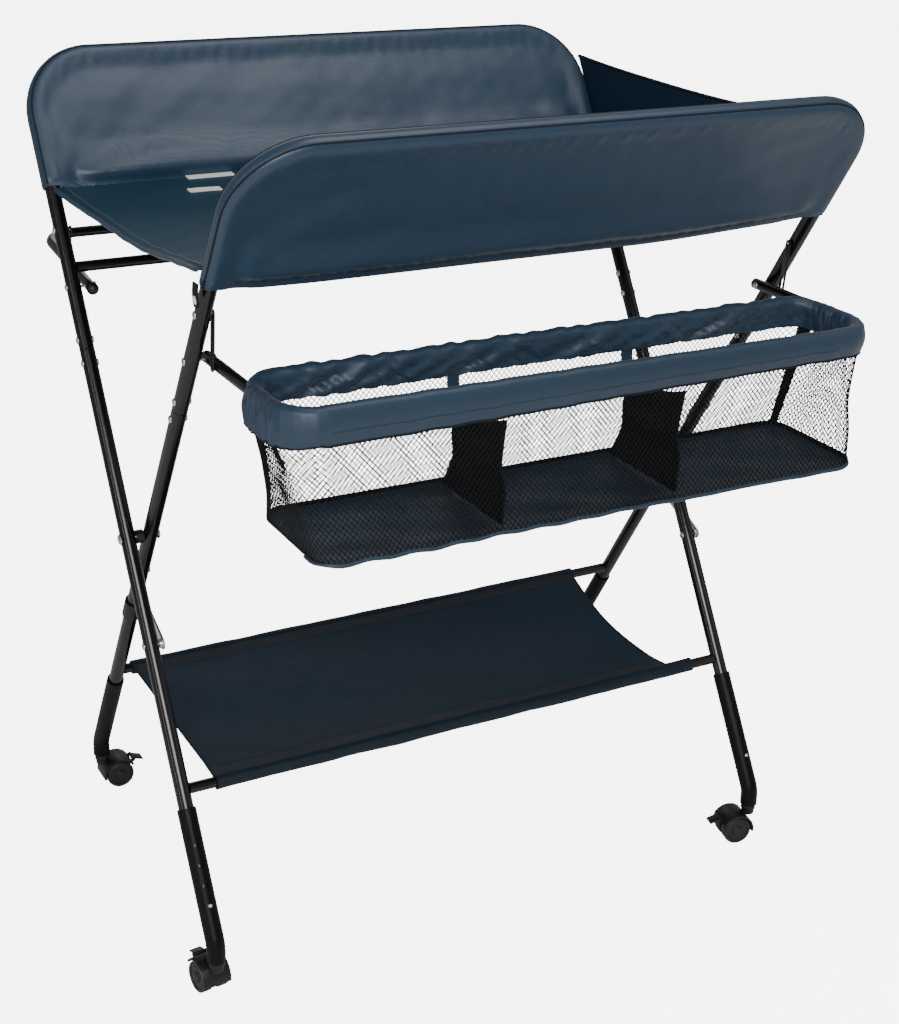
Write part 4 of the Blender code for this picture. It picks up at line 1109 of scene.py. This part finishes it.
def top_place(s, t):
    """The top: from its free left end to the right, and from the front to the rear."""
    y = between(TOP_FRONT, TOP_BACK, t)
    left = between(-0.350, -0.3615, t) + 0.006 * 4 * t * (1 - t)
    right = between(0.3575, 0.3485, t)
    x = between(left, right, s)
    return Vector((PIVOT.x + x, PIVOT.y + y, top_height(x, y)))


def across_fold(piece):
    """Bakes a piece of the top into its place; the piece rides on neither frame."""
    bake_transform(piece)


def covered(obj, material_slot, *nodes):
    """Finishes a piece that rides on neither frame: smooth shading, and hides the nodes that it stands for;
    material_slot is not used.
    """
    obj.data.shade_smooth()
    obj.data.set_sharp_from_angle(angle=math.radians(50))
    if nodes:
        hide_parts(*nodes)
    print(f"{obj.name}: {len(obj.data.polygons)} faces, blended")


top = cloth("changing_top_cloth", top_place, 120, 70, sling_cloth, 0.0022)
covered(top, "navy_fabric", "top_sling")
across_fold(top)
hem_waves = slow_waves(51, 5, 0.045, 0.018)
hem_lines = []
for inset, rise, wobble in ((0.0, 0.0, 0.00035), (0.0105, 0.0010, 0.0003)):
    line = []
    for share in shares(90):
        point = top_place(0, share)
        point.x += inset + wobble * hem_waves(point.y, inset)
        point.z += rise + wobble * hem_waves(point.y + 1, inset)
        line.append(point)
    hem_lines.append(line)
top_hem = joined("changing_top_hem", [
    tube("cord", [hem_lines[0]], 0.0024, satin, sides=12, steps=1),
    tube("cord", [hem_lines[1]], 0.0017, satin, sides=12, steps=1),
    stitches("threads", [[point + Vector((0.0055, 0, 0.0012)) for point in hem_lines[0]]])])
covered(top_hem, "navy_fabric")
across_fold(top_hem)


def tape_on_top(name, low_x, high_x, y):
    """A strip of white webbing sewn on the top."""
    def place(s, t):
        x, across = between(low_x, high_x, s), y + TAPE_WIDTH * (t - 0.5)
        return Vector((PIVOT.x + x, PIVOT.y + across, top_height(x, across) + TAPE_ABOVE))
    tape = cloth(name, place, 18, 6, white_tape, TAPE_THICKNESS)
    covered(tape, "navy_fabric")
    across_fold(tape)


tape_on_top("white_tape_rear", -0.210, -0.154, 0.196)
tape_on_top("white_tape_middle", -0.226, -0.188, 0.149)

# %% [markdown]
# ## The end panel
#
# The right end is closed by an upright panel between the two hoops. Its upper edge is bound
# with a dark tape and hangs in a shallow curve, and a cord closes the seam with the top.

# %% The end panel
PANEL_TOP = 0.879
PANEL_LOW = 0.774
PANEL_RIGHT = (0.3585, 0.3490)
PANEL_DIP, PANEL_BOW = 0.008, 0.0030


def panel_place(s, t):
    """The panel: from the front hoop to the rear one, and from the bottom up."""
    z = between(PANEL_LOW, PANEL_TOP, t)
    reach_y = (z - PIVOT.z) * math.tan(LEAN) - 0.0035
    y = between(-reach_y, reach_y, s)
    dip = PANEL_DIP * 4 * s * (1 - s) * smooth(t, 0.2, 1)
    bow = (PANEL_BOW * math.sin(math.pi * t) + 0.0010 * top_waves(y, z)) * math.sin(math.pi * s)
    return Vector((PIVOT.x + between(*PANEL_RIGHT, s) - bow, PIVOT.y + y, z - dip))


panel = cloth("end_panel_cloth", panel_place, 70, 18, shelf_cloth, 0.0020)
covered(panel, "navy_fabric", "end_panel")
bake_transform(panel)
inwards = Vector((-0.0012, 0, 0))
panel_edge = [panel_place(share, 1) for share in shares(60)]
seam_edge, thread_line = [[panel_place(share, up) + inwards for share in shares(60)] for up in (0.03, 0.93)]
panel_trim = joined("end_panel_trim", [
    tube("cord", [panel_edge], 0.0021, binding, sides=12, steps=1),
    tube("cord", [seam_edge], 0.0014, binding, sides=10, steps=1),
    stitches("threads", [thread_line])])
covered(panel_trim, "navy_fabric")
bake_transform(panel_trim)

# %% [markdown]
# ## The shelf
#
# A cloth shelf spans the two lower bars. Along each bar it is sewn into a darker sleeve that
# the bar passes through, and its two free edges curve inwards. The dark hem beside each sleeve
# is a second material on the same sheet. The cloth rides on neither frame; each sleeve
# rides with its own bar.

# %% The shelf
shelf_hem_cloth = finish("navy shelf hem", (0.0048, 0.0100, 0.0175), (0.0066, 0.0135, 0.0230), 0.55,
                         patch=8, weave=330, crinkle=0.08, specular=0.22)
SHELF_LEFT, SHELF_RIGHT = (-0.325, -0.320), (0.262, 0.300)
SLEEVE_RIGHT = (0.296, 0.302)
SLEEVE_RADIUS, SLEEVE_WALL = 0.0082, 0.0014
shelf_bars = {FRAME_A: on_frame(FRAME_A, 0, SHELF_BAR), FRAME_B: on_frame(FRAME_B, 0, SHELF_BAR)}
shelf_waves = slow_waves(61, 7, 0.30, 0.09)
BAND_SHARE = 0.085


def shelf_place(s, t):
    """The shelf: from the left to the right, and from the front bar to the rear one."""
    front, back = shelf_bars[FRAME_A], shelf_bars[FRAME_B]
    curve = 4 * t * (1 - t)
    left = between(*SHELF_LEFT, t) + 0.006 * curve
    right = between(*SHELF_RIGHT, t) - 0.009 * curve
    x = between(left, right, s)
    y = between(front.y, back.y, t)
    z = front.z + 0.0058 - 0.011 * curve + 0.0010 * shelf_waves(x, y) * smooth(curve, 0.05, 0.5)
    return Vector((PIVOT.x + x, y, z))


shelf = cloth("shelf_cloth", shelf_place, 110, 47, shelf_cloth, 0.0018)
shelf.data.materials.append(shelf_hem_cloth)
for face in shelf.data.polygons:
    share = (face.center.y - shelf_bars[FRAME_A].y) / (shelf_bars[FRAME_B].y - shelf_bars[FRAME_A].y)
    face.material_index = int(min(share, 1 - share) < BAND_SHARE)
covered(shelf, "navy_fabric", "shelf_sling")
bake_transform(shelf)
edges = [[shelf_place(side, share) for share in shares(50)] for side in (0, 1)]
rows = [[shelf_place(share, row) + Vector((0, 0, 0.0012)) for share in shares(90)[2:89]]
        for row in (BAND_SHARE, 1 - BAND_SHARE)]
shelf_hem = joined("shelf_hem", [
    tube("cord", edges, 0.0018, shelf_cloth, sides=10, steps=1), stitches("threads", rows, shelf_cloth)])
covered(shelf_hem, "navy_fabric")
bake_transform(shelf_hem)
SLEEVES = zip((FRAME_A, FRAME_B), ("frame_a", "frame_b"), ("front", "rear"), SHELF_LEFT, SLEEVE_RIGHT)
for side, body, row, left, right in SLEEVES:
    bar = shelf_bars[side]
    line = [Vector((PIVOT.x + between(left, right, share), bar.y, bar.z)) for share in shares(40)]
    sleeve = tube(f"shelf_sleeve_{row}", [line], SLEEVE_RADIUS, shelf_hem_cloth, steps=1, caps=False)
    sleeve = hollow(sleeve, SLEEVE_WALL)
    for vertex in sleeve.data.vertices:
        ripple = 1 + 0.05 * shelf_waves(vertex.co.x * 4, vertex.co.z * 3)
        vertex.co.y = bar.y + (vertex.co.y - bar.y) * ripple
        vertex.co.z = bar.z + (vertex.co.z - bar.z) * ripple
    placed(sleeve, body, "navy_fabric")

# %% [markdown]
# ## The snap tab
#
# A short black webbing tab hangs at the left end of the front guard, with one white snap.

# %% The snap tab
tab_low, tab_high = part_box("snap_tab")


def tab_place(s, t):
    """The tab: across it, and from its rounded foot up."""
    x = (tab_low.x + tab_high.x) / 2 - 0.0008 * math.sin(math.pi * t)
    z = between(tab_low.z, tab_high.z, t) + 0.002 * (abs(2 * s - 1) ** 3) * (1 - t)
    return Vector((x, between(tab_low.y, tab_high.y, s), z))


tab = cloth("snap_tab_webbing", tab_place, 10, 16, black_tape, 0.0018)
placed(tab, "frame_b", "black_net", "snap_tab")
button = [(0, 0), (0.0042, 0), (0.0044, 0.0006), (0.0036, 0.0013), (0.0020, 0.0014), (0.0012, 0.0009), (0, 0.0008)]
snap_middle = Vector((tab_low.x + 0.0002, (tab_low.y + tab_high.y) / 2, tab_low.z + 0.008))
snap = lathe("snap_button", button, snap_white, facing(snap_middle, (-1, 0, 0)), 24)
placed(snap, "frame_b", "black_plastic")

# %% [markdown]
# ## The basket's walls as one rule
#
# The basket's rim, net walls, tapes and floor all follow the same rounded loop, which starts on
# the tube and shrinks to the floor. The loop is sampled side by side and corner by corner, so
# that a share of the way round means the same side at every height, and one function gives the
# wall's point for a share round and a share down.

# %% The basket's walls
RIM_LOW, RIM_HIGH = (-ARM_X, ROD_OFFSET), (ARM_X, BASKET_LENGTH)
FLOOR_LOW, FLOOR_HIGH = (-0.301, 0.0500), (0.330, 0.1930)
RIM_DROP, FLOOR_DROP = 0.029, 0.1500
SIDE_STEPS = (96, 14)
CORNER_STEPS = 6
NET_TUCK, NET_OUT = 0.009, 0.0045


def loop_points(low, high, near, far):
    """Points and outward directions round a rectangle with small rear and larger front corners.

    It starts at the left end of the front side and runs right, back, left and forward."""
    points = []
    front_left, front_right = Vector((low[0], high[1])), Vector(high)
    rear_left, rear_right = Vector(low), Vector((high[0], low[1]))
    sides = ((front_left, front_right, near, near, (0, 1), SIDE_STEPS[0]),
             (front_right, rear_right, near, far, (1, 0), SIDE_STEPS[1]),
             (rear_right, rear_left, far, far, (0, -1), SIDE_STEPS[0]),
             (rear_left, front_left, far, near, (-1, 0), SIDE_STEPS[1]))
    for start, end, first, last, outward, steps in sides:
        outward = Vector(outward)
        ahead = (end - start).normalized()
        begin, stop = start + ahead * first, end - ahead * last
        points += [(begin + (stop - begin) * k / steps, outward) for k in range(steps)]
        middle = stop - outward * last
        for k in range(CORNER_STEPS):
            turn = math.pi / 2 * k / CORNER_STEPS
            way = outward * math.cos(turn) + ahead * math.sin(turn)
            points.append((middle + way * last, way))
    return points


rim_loop = loop_points(RIM_LOW, RIM_HIGH, 0.035, 0.032)
floor_loop = loop_points(FLOOR_LOW, FLOOR_HIGH, 0.022, 0.020)
AROUND = len(rim_loop)
SIDE_STARTS = [0]
for steps in (SIDE_STEPS * 2)[:3]:
    SIDE_STARTS.append(SIDE_STARTS[-1] + steps + CORNER_STEPS)


def round_loop(loop, place):
    """The point and outward direction at a place counted round a loop, between its samples too."""
    index = int(math.floor(place)) % len(loop)
    share = place - math.floor(place)
    (a, way_a), (b, way_b) = loop[index], loop[(index + 1) % len(loop)]
    return a + (b - a) * share, (way_a + (way_b - way_a) * share).normalized()


wall_waves = slow_waves(71, 7, 0.16, 0.05)


def wall(place, drop, proud=0.0):
    """A point of the net wall: a place round it, a share of the way down, and a step outwards."""
    (top_point, way), (low_point, _) = round_loop(rim_loop, place), round_loop(floor_loop, place)
    slack = (0.0016 * wall_waves(place * 0.0065, drop * 0.12) - 0.0035) * math.sin(math.pi * drop)
    flat = between(top_point + way * NET_OUT, low_point, drop) + way * (slack + proud)
    return on_basket(flat.x, flat.y, -between(RIM_DROP - NET_TUCK, FLOOR_DROP, drop))


print("samples round the basket", AROUND)

# %% [markdown]
# ## The rim band
#
# A cloth band is folded over the tube in front and at the ends, and over the rod behind, and
# its two layers meet below. The section is a small loop over the tube with two legs. It is
# ruched along the rear, pleated at the ends, and smooth in front, so the relief changes with
# the place round the basket. The front drops less towards the right, and the ruching fades at
# the hem, which keeps the hem's line calm.

# %% The rim band
gather_long = slow_waves(81, 5, 9.0, 4.5)
gather_short = slow_waves(82, 6, 4.2, 1.9)
pleats = slow_waves(83, 4, 1.5, 0.9)
REAR_RISE = 0.0055
GIRTH = 0.0077
BAND_SECTION = (
    (-0.15, -0.0290, -1), (-0.30, -0.0245, -1), (-0.45, -0.0200, -1), (-0.60, -0.0155, -1),
    (-0.80, -0.0105, -1), (-0.97, -0.0050, -1), (-1.00, 0.0000, -1), (-0.87, 0.0038, -0.6),
    (-0.50, 0.0065, -0.3), (0.00, 0.0076, 0), (0.50, 0.0065, 0.3), (0.87, 0.0038, 0.6),
    (1.00, 0.0000, 1), (0.98, -0.0050, 1), (0.88, -0.0105, 1), (0.78, -0.0155, 1),
    (0.70, -0.0200, 1), (0.64, -0.0245, 1), (0.60, -0.0290, 1), (0.58, -0.0315, 1))


def side_shares(place):
    """How much a place belongs to the rear side and to the two ends."""
    place = place % AROUND
    rear_from, rear_to = SIDE_STARTS[2] - 3, SIDE_STARTS[3] - 3
    rear = smooth(place, rear_from - 3, rear_from + 2) * smooth(rear_to + 3 - place, 0, 5)
    right = smooth(place, SIDE_STARTS[1] - 5, SIDE_STARTS[1] + 3) * (1 - smooth(place, rear_from - 3, rear_from + 2))
    left = smooth(place, rear_to - 2, rear_to + 3) * (1 - smooth(place, AROUND - 4, AROUND + 3))
    return rear, max(right, left)


def band_place(s, t):
    """The band: a share of the way round, and a share of its section from inside to outside."""
    place = s * AROUND
    point, way = round_loop(rim_loop, place)
    rear, end = side_shares(place)
    index = t * (len(BAND_SECTION) - 1)
    low = min(int(index), len(BAND_SECTION) - 2)
    (n_a, z_a, f_a), (n_b, z_b, f_b) = BAND_SECTION[low], BAND_SECTION[low + 1]
    share = index - low
    across, up, face = between(n_a, n_b, share), between(z_a, z_b, share), between(f_a, f_b, share)
    front = (1 - rear) * (1 - end)
    above_hem = 0.25 + 0.75 * smooth(up, -0.0300, -0.0200)
    ruche = 0.0030 * gather_long(place + up * 260, 0) + 0.0016 * gather_short(place - up * 190, 0)
    folds = rear * above_hem * ruche + end * 0.0013 * pleats(place, 0) + front * 0.0003 * gather_long(place, up * 20)
    bulge = 0.0022 * math.sin(math.pi * min(1, max(0, -up / 0.030))) * (face > 0)
    flare = end * 0.004 * smooth(-up, 0, 0.03) * (1 if face > 0 else 0.6)
    out = (GIRTH + 0.0001 * rear) * across + folds * (0.35 + 0.65 * smooth(-up, 0.0, 0.012)) + bulge + flare
    flat = point + way * out
    up *= 1 - 0.10 * rear - front * between(0.02, 0.20, smooth(place, 0, SIDE_STEPS[0]))
    up += rear * REAR_RISE + rear * 0.0008 * gather_short(place, 3) + 0.0003 * gather_long(place, 5)
    return on_basket(flat.x, flat.y, up)


band = cloth("basket_rim_band", band_place, AROUND * 3, 38, band_cloth, 0.0012, closed=True)
placed(band, "basket", "navy_fabric", "basket_bag")
front_places = [1 + k * 0.8 for k in range(int((SIDE_STEPS[0] - 2) / 0.8))]


def band_line(places, t, proud=0.0009):
    """Points on the band's outer face, at one share of its section."""
    line = []
    for place in places:
        point = band_place(place / AROUND, t)
        _, way = round_loop(rim_loop, place)
        line.append(point + Vector((way.x, -way.y, 0)) * proud)
    return line


whole_loop = [k * 0.5 for k in range(AROUND * 2)]
band_trim = joined("basket_band_stitches", [
    stitches("threads", [band_line(front_places, 0.80), band_line(front_places, 0.955)], binding, 0.0036),
    tube("cord", [band_line(whole_loop, 0.985, 0.0004)], 0.0011, binding, sides=8, steps=1, closed=True)])
placed(band_trim, "basket", "navy_fabric")

# %% [markdown]
# ## The net
#
# The walls are a knotted diamond net. Its knots lie in staggered rows on the wall's rule, and
# bare edges join each knot to its two neighbours below. The tree for tubes turns those edges
# into three-sided cords. Three sides are enough for a cord a millimetre thick, and keep nearly
# nineteen thousand of them light.

# %% The net
CORD, DIVIDER_CORD = 0.00054, 0.00062
NET_COLUMNS, NET_ROWS = 262, 36
DIVIDER_COLUMNS, DIVIDER_ROWS = 27, 50


def net_mesh(place, columns, rows, closed):
    """Edges of a diamond net over a rule that takes a column and a share of the height."""
    vertices, edges, index = [], [], {}
    for j in range(rows + 1):
        for i in range(columns if closed else columns + 1):
            column = i + (0.5 if j % 2 else 0.0)
            if not closed and column > columns:
                continue
            index[(i, j)] = len(vertices)
            vertices.append(tuple(place(column, j / rows)))
    for (i, j), here in index.items():
        for step in ((0, 1) if j % 2 else (-1, 0)):
            n = (i + step) % columns if closed else i + step
            if (n, j + 1) in index:
                edges.append((here, index[(n, j + 1)]))
    mesh = bpy.data.meshes.new("net")
    mesh.from_pydata(vertices, edges, [])
    return mesh


def net(name, place, columns, rows, closed=False, cord=CORD):
    """A diamond net with cords of one radius."""
    return run_tree(tube_tree, name, net_mesh(place, columns, rows, closed), Radius=cord, Corner=0.0,
                    Corner_steps=1, Sides=3, Caps=True, Material=net_cord)


def wall_knot(column, drop):
    """A place on the wall by the net's column."""
    return wall(column * AROUND / NET_COLUMNS, drop)


walls = net("basket_net_walls", wall_knot, NET_COLUMNS, NET_ROWS, closed=True)
placed(walls, "basket", "black_net")

# %% [markdown]
# ## Floor, cords and corner tapes
#
# The floor is a plain cloth sheet with rounded corners. A navy cord joins it to the net along
# the front, and a black tape along the rear and the right end. Two more tapes run down the
# rear corners.

# %% Floor, cords and corner tapes
FLOOR_CORNER = 0.021
TAPE_OUT, WALL_TAPE = 0.0012, 0.0011


def floor_place(s, t):
    """The floor: columns shorten near the ends, so that the corners are round."""
    x = between(FLOOR_LOW[0], FLOOR_HIGH[0], (1 - math.cos(math.pi * s)) / 2)
    from_end = min(x - FLOOR_LOW[0], FLOOR_HIGH[0] - x)
    short = max(0.0, FLOOR_CORNER - from_end)
    inset = FLOOR_CORNER - math.sqrt(max(0.0, FLOOR_CORNER ** 2 - short ** 2))
    forward = between(FLOOR_LOW[1] + inset, FLOOR_HIGH[1] - inset, t)
    inside = smooth(t, 0, 0.25) * smooth(1 - t, 0, 0.25) * smooth(from_end, 0, 0.03)
    return on_basket(x, forward, -FLOOR_DROP - inside * (0.003 + 0.0012 * wall_waves(x, forward)))


bag_floor = cloth("basket_floor", floor_place, 110, 26, band_cloth, 0.0018)
placed(bag_floor, "basket", "navy_fabric")


def tape_along(places, drops, columns, rows):
    """A tape on the wall between two places round it and two shares down."""
    def place(s, t):
        return wall(between(*places, s), between(*drops, t), TAPE_OUT)
    return cloth("tape", place, columns, rows, black_tape, WALL_TAPE)


ripple = slow_waves(91, 4, 14.0, 6.0)
front_cord = []
for share in shares(160):
    place = -8 + (SIDE_STEPS[0] + 14) * share
    front_cord.append(wall(place, 1.0, 0.0006) + Vector((0, 0, 0.0010 * ripple(place, 0))))
rear_corner = SIDE_STARTS[2] - CORNER_STEPS / 2
left_corner = SIDE_STARTS[3] - CORNER_STEPS / 2
right_from = SIDE_STARTS[1] - CORNER_STEPS / 2
trims = joined("basket_tapes", [
    tube("cord", [front_cord], 0.0021, band_cloth, sides=12, steps=1),
    tape_along((rear_corner - 0.8, rear_corner + 0.8), (0, 1), 10, 40),
    tape_along((left_corner - 0.8, left_corner + 0.8), (0, 1), 10, 40),
    tape_along((right_from, SIDE_STARTS[3]), (0.955, 1.0), 150, 4),
    tape_along((left_corner, AROUND - 3), (0.975, 1.0), 30, 3)])
placed(trims, "basket", "black_net")

# %% [markdown]
# ## Dividers
#
# Two net dividers split the basket. Each is two layers of the same net over a thin dark sheet,
# between bound edges and a little narrower at its waist, and a small navy tab ties its rear
# corner to the band. The dark sheet is painted shade: it darkens the gaps between the cords,
# so that the pale ground does not show through them as bright specks.

# %% Dividers
DIVIDER_TOP = 0.034
DIVIDER_X = (-0.1085, 0.0975)


def divider_place(x, layer):
    """The rule of one layer of a divider, from its front edge to its rear, and from its top down."""
    def place(column, drop):
        depth = between(DIVIDER_TOP, FLOOR_DROP - 0.001, drop)
        share = (depth - RIM_DROP) / (FLOOR_DROP - RIM_DROP)
        waist = 0.0075 * math.sin(math.pi * drop)
        front = between(BASKET_LENGTH + 0.0035, FLOOR_HIGH[1], share) - 0.003 - waist - 0.014 * drop
        back = between(ROD_OFFSET - 0.0035, FLOOR_LOW[1], share) + 0.003 + waist
        dip = 0.013 * math.sin(math.pi * column) * (1 - drop)
        puff = layer * (0.0008 + 0.0014 * math.sin(math.pi * column) * math.sin(math.pi * drop))
        lean = 0.004 * math.sin(math.pi * drop) + 0.008 * smooth(drop, 0.4, 0.75)
        return on_basket(x + puff + lean, between(front, back, column), -depth - dip)
    return place


def divider_layer(x, layer):
    """One layer of net: the same rule, asked by the net's column."""
    rule = divider_place(x, layer)
    return net("layer", lambda column, drop: rule(column / DIVIDER_COLUMNS, drop), DIVIDER_COLUMNS, DIVIDER_ROWS,
               cord=DIVIDER_CORD)


TOP_BIND, SIDE_BIND = 0.075, 0.045
for x, (_, name) in zip(DIVIDER_X, ENDS):
    middle = divider_place(x, 0)
    tie_point = middle(0.985, 0) + Vector((0, 0.0008, -0.004))
    divider = joined(f"basket_net_divider_{name}", [
        divider_layer(x, -1), divider_layer(x, 1),
        # A thin dark sheet between the two layers: painted shade seen between the cords.
        cloth("shade_sheet", middle, 24, 20, divider_shade_cloth, 0.0005),
        cloth("tape", lambda s, t: middle(s, TOP_BIND * t), 24, 3, black_tape, 0.0030),
        cloth("tape", lambda s, t: middle(SIDE_BIND * s, t), 3, 30, black_tape, 0.0028),
        cloth("tape", lambda s, t: middle(1 - SIDE_BIND * (1 - s), t), 3, 30, black_tape, 0.0028),
        cloth("tab", lambda s, t: tie_point + Vector((0.013 * (s - 0.5), 0.0030 * t, 0.024 * t)), 6, 10,
              band_cloth, 0.0020)])
    placed(divider, "basket", "black_net", f"basket_divider_{name}")

# %% The sizes
import json

visual_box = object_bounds()
growth = [[round(1000 * (v - c), 1) for v, c in zip(new, old)] for new, old in zip(visual_box, cad_box)]
print("box grew by (mm)", growth)
